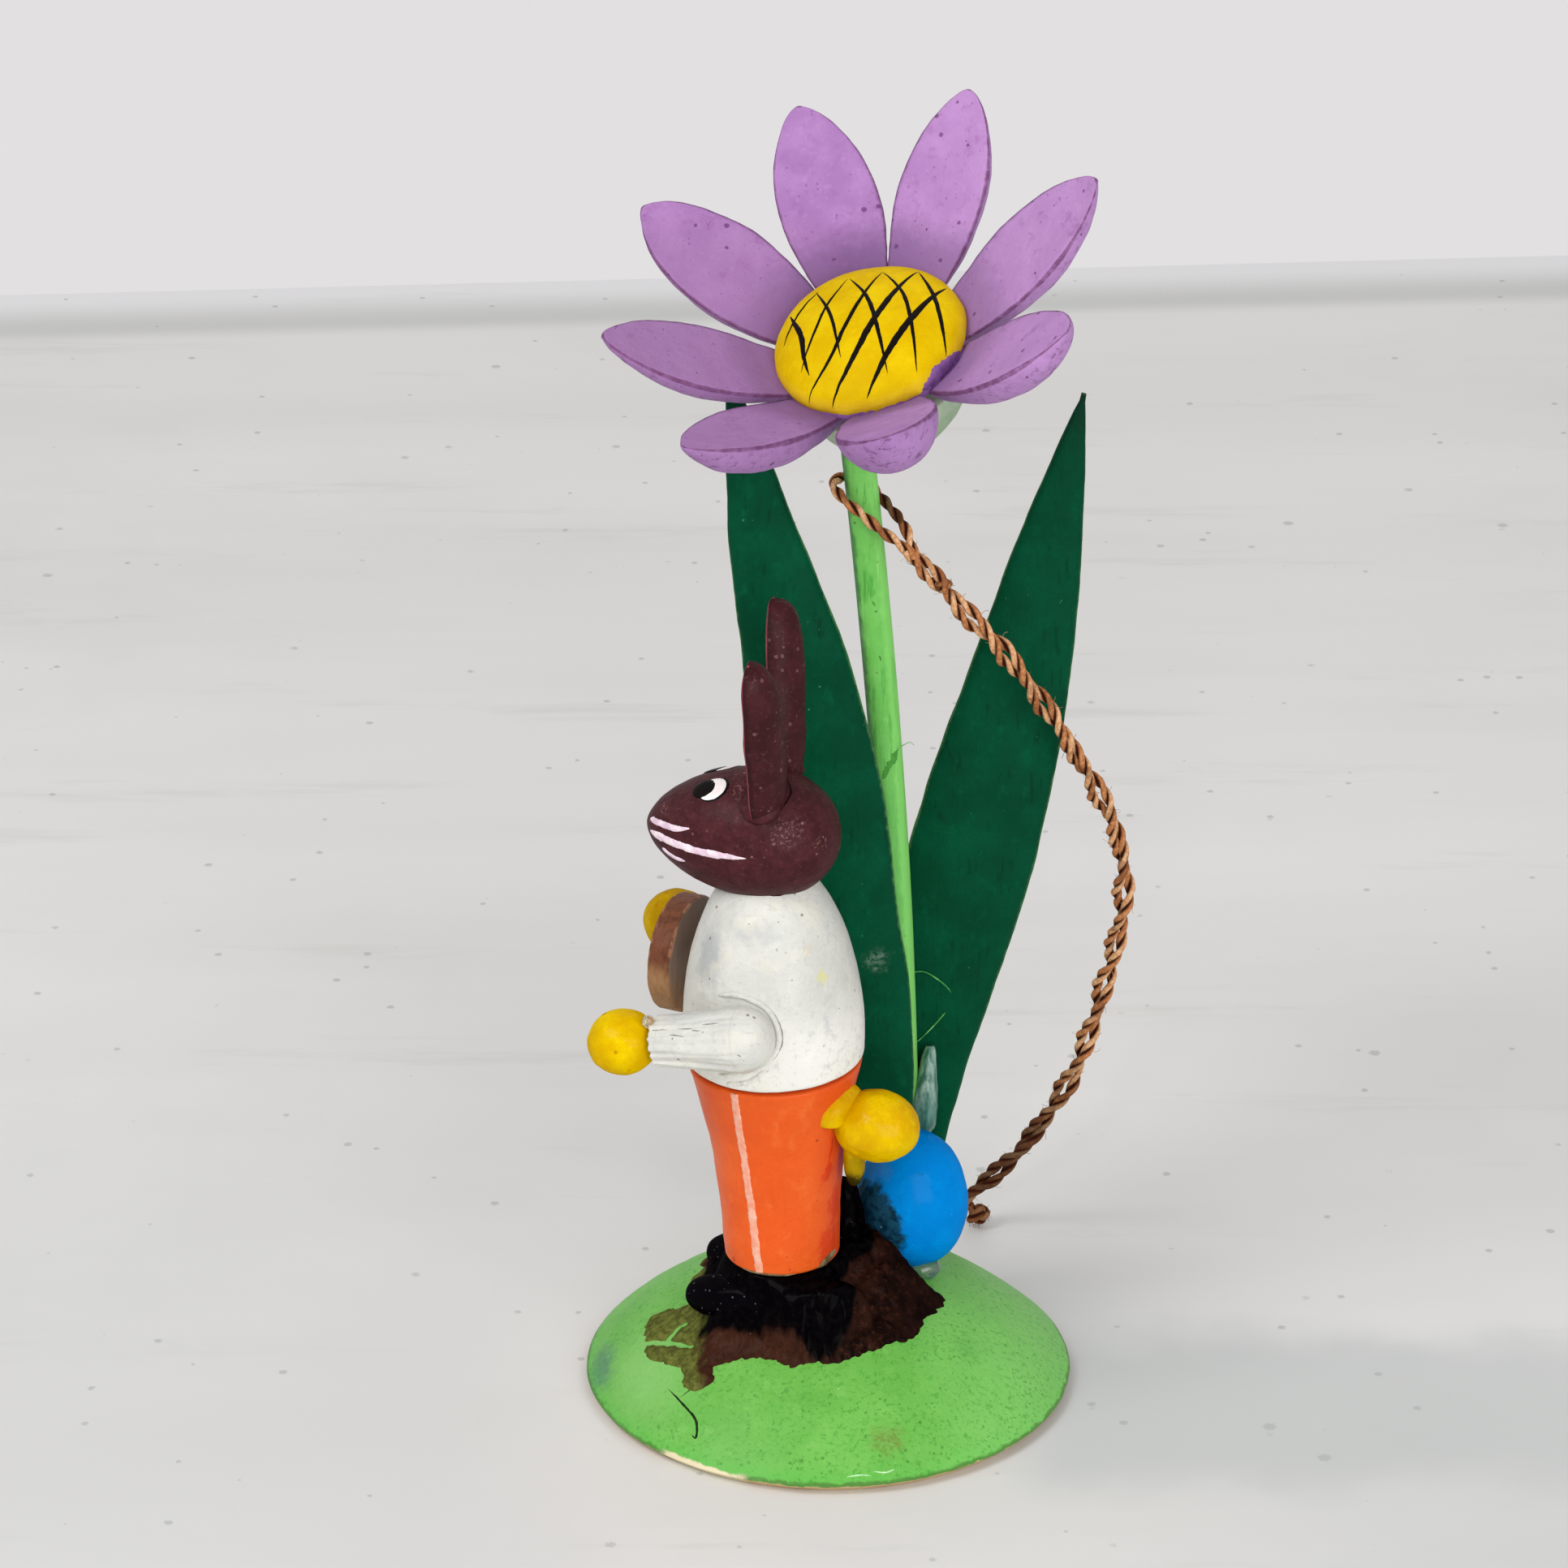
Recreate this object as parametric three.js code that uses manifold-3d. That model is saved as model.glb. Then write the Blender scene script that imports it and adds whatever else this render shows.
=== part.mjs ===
// Turned wooden rabbit ornament: an egg painter with a palette under a tall flower.
// Millimetres, +Z up. The origin is the centre of the round base's flat underside.
// The rabbit looks along -X, so its left side faces -Y.

import * as THREE from "three";
import * as BufferGeometryUtils from "three/addons/utils/BufferGeometryUtils.js";
import Module from "manifold-3d";

// Clearance between glued neighbours and round a peg in its hole
const seam = 0.3;

// Domed base
const baseRadius = 15;
const baseRim = 0.63;
const baseHeight = 7.35;
const baseFootRadius = 14.4;
const baseSides = 44;

// Rabbit's place on the dome, its turn away from -X and its lean towards -X
const rabbitX = -2.75;
const rabbitY = -2.3;
const rabbitYaw = 25;
const rabbitLean = 1.9;
const footLevel = 7.1;

// Shoes, one each side of the rabbit's middle
const shoeLength = 10.6;
const shoeWidth = 3.3;
const shoeHeight = 3.1;
const shoeSpread = 2.6;
const shoeForward = 0;
const shoeRise = 0.6;
const shoePitch = 6;
const shoeBluntness = 2.7;
const farShoeForward = 1.1;

// Trousers: a turned taper, measured up from the foot level
const hemHeight = 2.86;
const hemRadius = 3.5;
const kneeHeight = 7.4;
const kneeRadius = 3.76;
const hipHeight = 11.9;
const hipRadius = 4.35;
const waistHeight = 16.15;
const waistRadius = 5.3;
const waistPegRadius = 1.5;
const waistPegLength = 3;

// Torso: the upper part of an egg, seated on the trousers
const chestRadius = 5.48;
const chestHeight = 18.4;
const torsoRise = 11.8;
const neckPegRadius = 0.9;
const neckPegRoot = 1.4;
const neckPegLength = 2.4;

// Head: a pointed egg lying along X, turned and dipped on the neck
const headHeight = 31.2;
const headRadius = 3.95;
const headSnout = 7.4;
const headBack = 4.5;
const snoutBluntness = 0.62;
const headYaw = 15;
const headDip = -1;

// Ears: half-round sticks, flat in front
const earLength = 11.1;
const earWidth = 3.5;
const earDepth = 1.95;
const earSpread = 1.95;
const earRoot = 1.6;
const earBehind = 0;
const leftEarSplay = 9;
const rightEarSplay = 14;
const leftEarLean = 0;
const rightEarLean = 3.5;
const earBluntness = 3.2;

// Sleeves and hands
const sleeveHeight = 20.6;
const leftSleeveOut = 6.5;
const rightSleeveOut = 5.6;
const sleeveLength = 5.8;
const sleeveRadius = 2.02;
const cuffRadius = 1.52;
const leftShoulder = 1.0;
const leftSleeveDroop = 10;
const leftSleeveSwing = 7;
const rightShoulder = -1.4;
const rightSleeveDroop = 0;
const rightSleeveSwing = 6;
const handRadius = 2.05;
const handReach = 2.05;
const rightHandReach = 2.3;

// Palette: a disc against the right hand, its top leaning back to the rabbit
const paletteRadius = 3.9;
const paletteThickness = 1.5;
const paletteX = -7.9;
const paletteY = 2.8;
const paletteHeight = 27.6;
const paletteYaw = 25;
const paletteLean = 0;

// Tail: a ball with the lip and the drop that squeezed out where it is stuck on
const tailRadius = 2.5;
const tailBelowWaist = 3.55;
const tailHeight = waistHeight - tailBelowWaist;
const tailReach = 6.75;
const tailSide = 0.2;
const tailSquash = 0.93;
const tailSeat = 1.9;
const tailLipRadius = 1.9;
const tailLipSide = -0.8;
const tailLipRise = 0.8;
const tailLipThickness = 0.5;
const tailDropWidth = 1.8;
const tailDropDepth = 1.6;
const tailDropLength = 4;
const tailDropFall = 2.8;

// Egg behind the rabbit's heels
const eggX = 5.25;
const eggY = 2.5;
const eggRadius = 3.35;
const eggHeight = 8.7;
const eggTilt = 4;

// Stem: a thin dowel, bowed to the left as it rises
const stemX = 4.8;
const stemY = 8.1;
const stemRadius = 1;
const stemSocket = 3.4;
const stemBelowFlower = 4.4;
const stemBow = 3.5;

// Flower: a tilted head of eight petals on a half ball
const flowerX = 2.35;
const flowerY = 7.1;
const flowerHeight = 66;
const stemTop = flowerHeight - stemBelowFlower;
const flowerTilt = 26.5;
const flowerTurn = 235;
const centreRadius = 5.85;
const centreThickness = 4.2;
const calyxRadius = 5.2;
const calyxDrop = 2.5;
const petalCount = 8;
const petalLength = 14.2;
const petalRootWidth = 2.2;
const petalRootRadius = 3.6;
const petalRootDrop = 1.6;
const petalLift = 32.5;
const petalStart = 98;
// The outline: how far it is open at the root, its widest part shifted to the tip, and how
// square it is at the root and at the tip
const petalOpening = 0.06;
const petalShift = 1.2;
const petalRootCurve = 0.5;
const petalTipCurve = 0.62;
// Each petal's width and depth, and how far it is out of true in swing and in lift, clockwise
const petalWidths = [6.1, 5.8, 6.3, 6.3, 6.2, 5.5, 6, 6.2];
const petalDepths = [2.2, 2.3, 2.3, 2.7, 3, 2.6, 2, 2.2];
const petalSwings = [0, 5, 2, 1, 0, -4, 1.5, -4];
const petalLifts = [-3, -1.5, 0, -0.5, 2.5, 0, 6.5, -5];

// Leaves: thin bent wood, in front of the stem and behind it
const leafThickness = 0.7;
const leafWidth = 7.9;
const leafFootWidth = 1.8;
const leafWidest = 0.47;
const leafTaper = 1.63;
const leafTipCurve = 0.9;
const leafCup = 0.12;

// Glue: the brown patch with its mound, and the two clear runs
const glueThickness = 0.4;
const moundX = 1.8;
const moundY = 0.5;
const moundWidth = 3.6;
const moundHeight = 5.8;
const moundBluntness = 2.6;
const beadX = 6.4;
const beadY = 0.7;
const beadWidth = 2.3;
const beadDepth = 1.6;
const beadHeight = 1.3;
const runX = 6.15;
const runY = 9.2;
const runZ = 14.6;
const runWidth = 1.5;
const runDepth = 1.8;
const runHeight = 6.4;

// Cord: two strands twisted together, looped round the stem and knotted at the end
const cordDiameter = 1.4;
const strandDiameter = 0.65;
const knotRadius = 0.65;
const knotBluntness = 2.4;

const materials = {
  base: paint(0x78c85a, 0.55),
  shoes: paint(0x0e0b12, 0.2),
  trousers: paint(0xf26a2e, 0.5),
  torso: paint(0xedefea, 0.55),
  head: paint(0x552a30, 0.35),
  yellow: paint(0xf5d20a, 0.35),
  palette: paint(0x7a4a35, 0.6),
  egg: paint(0x0a85d8, 0.3),
  stem: paint(0x6acb50, 0.5),
  calyx: paint(0x8fbf95, 0.5),
  petal: paint(0xa87cc8, 0.6),
  leaf: paint(0x04502f, 0.55),
  glue: paint(0x2a1410, 0.3),
  clearGlue: paint(0xd8dccf, 0.15),
  cord: paint(0xa8683a, 0.85),
};

function paint(color, roughness) {
  return new THREE.MeshStandardMaterial({ color, roughness, metalness: 0 });
}

const degrees = THREE.MathUtils.degToRad;
const v3 = (x, y, z) => new THREE.Vector3(x, y, z);

const wasm = await Module();
wasm.setup();

// A geometry with shared corners and its faces pointing out
function closed(geometry) {
  const bare = geometry.clone();
  bare.deleteAttribute("normal");
  bare.deleteAttribute("uv");
  const merged = BufferGeometryUtils.mergeVertices(bare, 1e-4);
  const corners = merged.attributes.position;
  const kept = [];
  let volume = 0;
  const a = v3(0, 0, 0);
  const b = v3(0, 0, 0);
  const c = v3(0, 0, 0);
  for (let i = 0; i < merged.index.count; i += 3) {
    const [p, q, r] = [0, 1, 2].map((k) => merged.index.getX(i + k));
    if (p === q || q === r || r === p) continue;
    kept.push(p, q, r);
    a.fromBufferAttribute(corners, p);
    b.fromBufferAttribute(corners, q);
    c.fromBufferAttribute(corners, r);
    volume += a.dot(b.cross(c));
  }
  if (volume < 0) kept.reverse();
  merged.setIndex(kept);
  return merged;
}

function toManifold(geometry) {
  const tidy = closed(geometry);
  return new wasm.Manifold(new wasm.Mesh({
    numProp: 3,
    vertProperties: new Float32Array(tidy.attributes.position.array),
    triVerts: new Uint32Array(tidy.index.array),
  }));
}

function fromManifold(manifold) {
  const mesh = manifold.getMesh();
  const geometry = new THREE.BufferGeometry();
  geometry.setAttribute("position", new THREE.BufferAttribute(mesh.vertProperties, 3));
  geometry.setIndex(Array.from(mesh.triVerts));
  geometry.computeVertexNormals();
  return geometry;
}

// The first geometry without the others
function cut(geometry, ...tools) {
  let solid = toManifold(geometry);
  for (const tool of tools) solid = solid.subtract(toManifold(tool));
  return fromManifold(solid);
}

function join(...geometries) {
  return fromManifold(geometries.map(toManifold).reduce((sum, next) => sum.add(next)));
}

function common(geometry, tool) {
  return fromManifold(toManifold(geometry).intersect(toManifold(tool)));
}

// A turned piece about Z from [radius, height] points
function turned(points, sides) {
  const profile = points.map(([r, z]) => new THREE.Vector2(Math.max(r, 0), z));
  return new THREE.LatheGeometry(profile, sides).rotateX(Math.PI / 2);
}

// A ball drawn out along its own axes; bluntness above 2 squares its ends
function bean(halfX, halfY, halfZ, bluntness = 2, around = 18, rings = 11) {
  const geometry = new THREE.SphereGeometry(1, around, rings).rotateX(Math.PI / 2);
  const corners = geometry.attributes.position;
  for (let i = 0; i < corners.count; i += 1) {
    const x = corners.getX(i);
    const z = corners.getZ(i);
    const y = corners.getY(i);
    const ring = Math.hypot(x, y);
    const wide = ring ** (2 / bluntness) / Math.max(ring, 1e-6);
    const tall = Math.sign(z) * Math.abs(z) ** (2 / bluntness);
    corners.setXYZ(i, x * wide * halfX, y * wide * halfY, tall * halfZ);
  }
  return geometry;
}

// A closed skin over rings of points, with a flat cap at each end
function skin(rings) {
  const around = rings[0].length;
  const corners = [];
  const faces = [];
  for (const ring of rings) for (const point of ring) corners.push(point.x, point.y, point.z);
  for (let i = 0; i + 1 < rings.length; i += 1) {
    for (let k = 0; k < around; k += 1) {
      const here = i * around + k;
      const next = i * around + ((k + 1) % around);
      faces.push(here, next, next + around, here, next + around, here + around);
    }
  }
  for (const [start, turn] of [[0, 1], [(rings.length - 1) * around, 0]]) {
    for (let k = 1; k + 1 < around; k += 1) {
      if (turn) faces.push(start, start + k + 1, start + k);
      else faces.push(start, start + k, start + k + 1);
    }
  }
  const geometry = new THREE.BufferGeometry();
  geometry.setAttribute("position", new THREE.Float32BufferAttribute(corners, 3));
  geometry.setIndex(faces);
  return geometry;
}

// A round bar along a list of points
function rod(points, radius, sides, steps) {
  const ring = [];
  for (let k = 0; k < sides; k += 1) {
    const angle = (2 * Math.PI * k) / sides;
    ring.push(new THREE.Vector2(radius * Math.cos(angle), radius * Math.sin(angle)));
  }
  const path = new THREE.CatmullRomCurve3(points, false, "centripetal");
  return new THREE.ExtrudeGeometry(new THREE.Shape(ring), { steps, extrudePath: path });
}

const object = new THREE.Group();

function piece(parent, name, geometry, material) {
  const mesh = new THREE.Mesh(geometry, material);
  mesh.name = name;
  parent.add(mesh);
  return mesh;
}

// A geometry of one group's frame in another's
function moved(geometry, from, to) {
  object.updateMatrixWorld(true);
  const matrix = to.matrixWorld.clone().invert().multiply(from.matrixWorld);
  return geometry.clone().applyMatrix4(matrix);
}

function group(parent, x, y, z, turnX = 0, turnY = 0, turnZ = 0) {
  const holder = new THREE.Group();
  holder.position.set(x, y, z);
  holder.rotation.set(degrees(turnX), degrees(turnY), degrees(turnZ));
  parent.add(holder);
  return holder;
}

// The dome is part of a ball that passes through the rim and the crown
const domeRise = baseHeight - baseRim;
const domeRadius = (baseRadius ** 2 + domeRise ** 2) / (2 * domeRise);
const domeCentre = baseHeight - domeRadius;
const domeTop = (x, y) => domeCentre + Math.sqrt(domeRadius ** 2 - x * x - y * y);

// The ball of the dome, swollen by a margin, to seat pieces on it
function domeBall(margin) {
  return new THREE.SphereGeometry(domeRadius + margin, 52, 34).translate(0, 0, domeCentre);
}

// Stem
const stemFoot = domeTop(stemX, stemY) - stemSocket;

function stemPoint(z) {
  const rise = (z - stemFoot) / (stemTop - stemFoot);
  return v3(stemX - stemBow * rise * rise, stemY, z);
}

function stemRod(radius, low, high, steps) {
  const points = [];
  for (let i = 0; i <= 12; i += 1) points.push(stemPoint(low + ((high - low) * i) / 12));
  return rod(points, radius, 12, steps);
}

piece(object, "stem", stemRod(stemRadius, stemFoot + seam, stemTop, 14), materials.stem);

// Base, with the stem's socket
function makeBase() {
  const profile = [[0, 0], [baseFootRadius, 0]];
  const start = Math.asin(baseRadius / domeRadius);
  const steps = 9;
  for (let i = 0; i < steps; i += 1) {
    const angle = start * (1 - i / steps);
    profile.push([domeRadius * Math.sin(angle), domeCentre + domeRadius * Math.cos(angle)]);
  }
  profile.push([0, baseHeight]);
  const socket = stemRod(stemRadius + seam, stemFoot, baseHeight + stemSocket, 4);
  return cut(turned(profile, baseSides), socket);
}
piece(object, "base", makeBase(), materials.base);

// Rabbit
const rabbit = group(object, rabbitX, rabbitY, footLevel, 0, -rabbitLean, -rabbitYaw);

const hemPlane = hemHeight - seam;
function trouserProfile(margin) {
  const side = new THREE.SplineCurve([
    new THREE.Vector2(hemRadius + margin, hemHeight),
    new THREE.Vector2(kneeRadius + margin, kneeHeight),
    new THREE.Vector2(hipRadius + margin, hipHeight),
    new THREE.Vector2(waistRadius + margin, waistHeight),
  ]);
  return side.getPoints(8).map((point) => [point.x, point.y]);
}

function makeTrousers() {
  const side = trouserProfile(0);
  const pegTop = waistHeight + waistPegLength;
  return turned([[0, hemHeight], ...side, [waistPegRadius, waistHeight],
    [waistPegRadius, pegTop], [0, pegTop]], 32);
}

function trouserTool(margin = seam) {
  const side = trouserProfile(margin);
  return turned([[0, hemPlane], [hemRadius + margin, hemPlane], ...side, [0, waistHeight]], 32);
}
piece(rabbit, "trousers", makeTrousers(), materials.trousers);

// Egg half-profile of the torso, from the waist up
function torsoProfile(margin) {
  const low = waistHeight + seam - margin;
  const start = Math.asin((low - chestHeight) / torsoRise);
  const points = [];
  const steps = 10;
  for (let i = 0; i <= steps; i += 1) {
    const angle = start + ((Math.PI / 2 - start) * i) / steps;
    const radius = (chestRadius + margin) * Math.cos(angle);
    points.push([radius, chestHeight + (torsoRise + margin) * Math.sin(angle)]);
  }
  points[steps][0] = 0;
  return [[0, points[0][1]], ...points];
}

// Head, along X with the snout towards -X
const head = group(rabbit, 0, 0, headHeight, 0, -headDip, rabbitYaw - headYaw);

function headEgg(margin) {
  const points = [];
  const snoutSteps = 9;
  for (let i = 0; i <= snoutSteps; i += 1) {
    const along = Math.cos((Math.PI / 2) * (i / snoutSteps));
    const radius = (headRadius + margin) * (1 - along ** 2) ** snoutBluntness;
    points.push([radius, -(headSnout + margin) * along]);
  }
  const backSteps = 6;
  for (let i = 1; i <= backSteps; i += 1) {
    const angle = (Math.PI / 2) * (i / backSteps);
    points.push([(headRadius + margin) * Math.cos(angle), (headBack + margin) * Math.sin(angle)]);
  }
  points[0][0] = 0;
  points[points.length - 1][0] = 0;
  return turned(points, 28).rotateY(Math.PI / 2);
}

function neckPeg(margin) {
  const bottom = headHeight - headRadius - neckPegRoot;
  const top = headHeight - headRadius + neckPegLength + margin;
  const peg = new THREE.CylinderGeometry(neckPegRadius + margin, neckPegRadius + margin,
    top - bottom, 12).rotateX(Math.PI / 2);
  return peg.translate(0, 0, (top + bottom) / 2);
}

function makeTorso() {
  const socketHeight = waistPegLength + seam;
  const socket = new THREE.CylinderGeometry(waistPegRadius + seam, waistPegRadius + seam,
    2 * socketHeight, 16).rotateX(Math.PI / 2).translate(0, 0, waistHeight);
  const seated = cut(turned(torsoProfile(0), 32), moved(headEgg(seam), head, rabbit), socket);
  return join(seated, neckPeg(0));
}
piece(rabbit, "torso", makeTorso(), materials.torso);
piece(head, "head", cut(headEgg(0), moved(neckPeg(seam), rabbit, head)), materials.head);

// Ears
function makeEar(holder) {
  const stick = bean(earDepth, earWidth / 2, earLength / 2, earBluntness, 20, 14)
    .translate(0, 0, earLength / 2);
  const front = new THREE.BoxGeometry(earWidth, earWidth * 2, earLength * 2)
    .translate(-earWidth / 2, 0, earLength / 2);
  return cut(stick, front, moved(headEgg(seam), head, holder));
}
function placeEar(name, side, splay, lean) {
  const holder = group(head, earBehind, side * earSpread, earRoot, -side * splay, -lean, 0);
  piece(holder, name, makeEar(holder), materials.head);
}
placeEar("ear_left", -1, leftEarSplay, leftEarLean);
placeEar("ear_right", 1, rightEarSplay, rightEarLean);

// Sleeves, each with its rounded shoulder stuck to the torso, and the hands on the cuffs
function sleeveStick(margin) {
  const points = [[0, -sleeveRadius - margin]];
  for (let i = 1; i <= 5; i += 1) {
    const angle = (Math.PI / 2) * (1 - i / 5);
    points.push([(sleeveRadius + margin) * Math.cos(angle),
      -(sleeveRadius + margin) * Math.sin(angle)]);
  }
  points.push([cuffRadius + margin, sleeveLength + margin], [0, sleeveLength + margin]);
  return turned(points, 20).rotateY(-Math.PI / 2);
}

const palette = group(object, paletteX, paletteY, paletteHeight, 0, paletteLean, -paletteYaw);

function paletteDisc(margin) {
  const thick = paletteThickness + 2 * margin;
  const disc = new THREE.CylinderGeometry(paletteRadius + margin, paletteRadius + margin,
    thick, 32).rotateZ(Math.PI / 2);
  return disc.translate(-paletteThickness / 2, 0, 0);
}
piece(palette, "palette", paletteDisc(0), materials.palette);

function makeArm(suffix, side, place, droop, swing, reach) {
  const arm = group(rabbit, place.forward, side * place.out, sleeveHeight, 0, -droop, -side * swing);
  const torsoTool = moved(turned(torsoProfile(seam), 32), rabbit, arm);
  const paletteTool = moved(paletteDisc(seam), palette, arm);
  const sleeve = cut(sleeveStick(0), torsoTool, paletteTool);
  piece(arm, `sleeve_${suffix}`, sleeve, materials.torso);
  const ball = bean(handRadius, handRadius, handRadius)
    .translate(-sleeveLength - reach, 0, 0);
  piece(arm, `hand_${suffix}`, cut(ball, sleeveStick(seam), paletteTool), materials.yellow);
}
const leftPlace = { forward: leftShoulder, out: leftSleeveOut };
const rightPlace = { forward: rightShoulder, out: rightSleeveOut };
makeArm("left", -1, leftPlace, leftSleeveDroop, leftSleeveSwing, handReach);
makeArm("right", 1, rightPlace, rightSleeveDroop, rightSleeveSwing, rightHandReach);

// Tail
function makeTail() {
  const ball = bean(tailRadius, tailRadius * tailSquash, tailRadius * tailSquash, 2, 20, 12)
    .translate(tailReach, tailSide, tailHeight);
  const seatX = tailReach - tailSeat;
  const smear = bean(2 * tailLipRadius, tailLipRadius, tailLipRadius, 2, 14, 8)
    .translate(seatX, tailSide + tailLipSide, tailHeight + tailLipRise);
  const lip = common(trouserTool(seam + tailLipThickness), smear);
  const drop = bean(tailDropDepth / 2, tailDropWidth / 2, tailDropLength / 2, 2, 10, 7)
    .translate(seatX, tailSide, tailHeight - tailDropFall);
  return cut(join(ball, lip, drop), trouserTool());
}
piece(rabbit, "tail", makeTail(), materials.yellow);

// Shoes
function shoeShape(side, forward, margin) {
  return bean(shoeWidth / 2 + margin, shoeHeight / 2 + margin, shoeLength / 2 + margin,
    shoeBluntness, 16, 12)
    .rotateX(Math.PI / 2)
    .rotateZ(Math.PI / 2)
    .rotateY(degrees(-shoePitch))
    .translate(-forward, side * shoeSpread, shoeRise);
}

function makeShoe(side, forward) {
  const dome = moved(domeBall(seam), object, rabbit);
  return cut(shoeShape(side, forward, 0), dome, trouserTool());
}
piece(rabbit, "shoe_left", makeShoe(-1, shoeForward), materials.shoes);
piece(rabbit, "shoe_right", makeShoe(1, farShoeForward), materials.shoes);

// Egg
const eggFoot = domeTop(eggX, eggY) + seam;
const egg = group(object, eggX, eggY, eggFoot + eggHeight / 2, 0, eggTilt, 0);

function eggShape(margin) {
  const points = [];
  const steps = 12;
  for (let i = 0; i <= steps; i += 1) {
    const angle = -Math.PI / 2 + (Math.PI * i) / steps;
    const pinch = 1 - 0.08 * Math.sin(angle);
    points.push([(eggRadius + margin) * Math.cos(angle) * pinch,
      (eggHeight / 2 + margin) * Math.sin(angle)]);
  }
  points[0][0] = 0;
  points[steps][0] = 0;
  return turned(points, 26);
}
piece(egg, "egg", eggShape(0), materials.egg);

// Flower
const tiltAxis = v3(-Math.sin(degrees(flowerTurn)), Math.cos(degrees(flowerTurn)), 0);
const flower = group(object, flowerX, flowerY, flowerHeight);
flower.quaternion.setFromAxisAngle(tiltAxis, degrees(flowerTilt));

function flowerCentre(margin) {
  const points = [];
  const steps = 10;
  for (let i = 0; i <= steps; i += 1) {
    const angle = -Math.PI / 2 + (Math.PI * i) / steps;
    points.push([(centreRadius + margin) * Math.cos(angle),
      (centreThickness / 2 + margin) * Math.sin(angle)]);
  }
  points[0][0] = 0;
  points[steps][0] = 0;
  return turned(points, 30);
}
piece(flower, "flower_centre", flowerCentre(0), materials.yellow);

function calyxShape(margin) {
  const top = -calyxDrop + margin;
  const points = [[0, top]];
  const steps = 7;
  for (let i = 0; i <= steps; i += 1) {
    const angle = (Math.PI / 2) * (i / steps);
    points.push([(calyxRadius + margin) * Math.cos(angle),
      top - (calyxRadius + 2 * margin) * Math.sin(angle)]);
  }
  points[steps + 1][0] = 0;
  return turned(points, 28);
}

function makeCalyx() {
  const bore = stemRod(stemRadius + seam, stemTop - 2 * calyxRadius, stemTop + seam, 6);
  return cut(calyxShape(0), moved(bore, object, flower));
}
piece(flower, "calyx", makeCalyx(), materials.calyx);

// A petal along +X: flat on top and round below, with a pointed tip
function petalSkin(width, depth) {
  const rings = [];
  const steps = 11;
  for (let i = 0; i <= steps; i += 1) {
    const along = i / steps;
    const open = (petalOpening + (1 - petalOpening) * along) ** petalShift;
    const curve = petalRootCurve + (petalTipCurve - petalRootCurve) * along;
    const swell = Math.max(Math.sin(Math.PI * Math.min(1, open)), 0) ** curve;
    const root = (petalRootWidth / width) * (1 - along) ** 2;
    const share = Math.max(swell, root, 0.035);
    const half = (width / 2) * share;
    const deep = depth * Math.max(share ** 1.2, 0.06);
    const ring = [v3(along * petalLength, half, 0)];
    for (let k = 1; k < 6; k += 1) {
      const angle = (Math.PI * k) / 6;
      ring.push(v3(along * petalLength, half * Math.cos(angle), -deep * Math.sin(angle)));
    }
    ring.push(v3(along * petalLength, -half, 0));
    rings.push(ring);
  }
  return skin(rings);
}

const petalTurn = (i) => petalStart - (360 / petalCount) * i
  + petalSwings[(i + petalCount) % petalCount];

// Room for one petal's neighbour: everything past the line midway between the two
function petalNeighbour(i, side) {
  const other = side > 0 ? petalTurn(i - 1) : petalTurn(i + 1);
  const midway = group(flower, 0, 0, 0, 0, 0, (petalTurn(i) + other) / 2);
  const reach = 4 * petalLength;
  const room = new THREE.BoxGeometry(reach, reach, reach)
    .translate(0, side * (reach - seam) / 2, 0);
  return [room, midway];
}

for (let i = 0; i < petalCount; i += 1) {
  const turn = petalTurn(i);
  const lift = petalLift + petalLifts[i];
  const spoke = group(flower, 0, 0, 0, 0, 0, turn);
  const holder = group(spoke, petalRootRadius, 0, -petalRootDrop, 0, -lift, 0);
  const neighbours = [1, -1].map((side) => {
    const [room, midway] = petalNeighbour(i, side);
    return moved(room, midway, holder);
  });
  const shaped = cut(petalSkin(petalWidths[i], petalDepths[i]), ...neighbours,
    moved(flowerCentre(seam), flower, holder), moved(calyxShape(seam), flower, holder));
  piece(holder, `petal_${i + 1}`, shaped, materials.petal);
}

// Leaves: a strip along its midline, widest part-way up and pointed at the tip
function leafSkin(midline, margin) {
  const path = new THREE.CatmullRomCurve3(midline, false, "centripetal");
  const rings = [];
  const steps = 18;
  for (let i = 0; i <= steps; i += 1) {
    const along = i / steps;
    const centre = path.getPointAt(along);
    const run = path.getTangentAt(along);
    const across = v3(run.z, 0, -run.x).normalize();
    const face = v3(0, 0, 0).crossVectors(run, across).normalize();
    const below = Math.min(along / leafWidest, 1);
    const above = Math.max((along - leafWidest) / (1 - leafWidest), 0);
    const foot = leafFootWidth / leafWidth;
    const share = above > 0 ? (1 - above ** leafTaper) ** leafTipCurve
      : foot + (1 - foot) * Math.sin((Math.PI / 2) * below) ** 2;
    const half = (leafWidth / 2) * Math.max(share, 0.06) + margin;
    const thick = leafThickness / 2 + margin;
    const ring = [];
    for (const [side, layer] of [[-1, -1], [0, -1], [1, -1], [1, 1], [0, 1], [-1, 1]]) {
      const cup = side === 0 ? -leafCup * half : 0;
      ring.push(centre.clone().addScaledVector(across, side * half)
        .addScaledVector(face, layer * thick + cup));
    }
    rings.push(ring);
  }
  return skin(rings);
}

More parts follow.
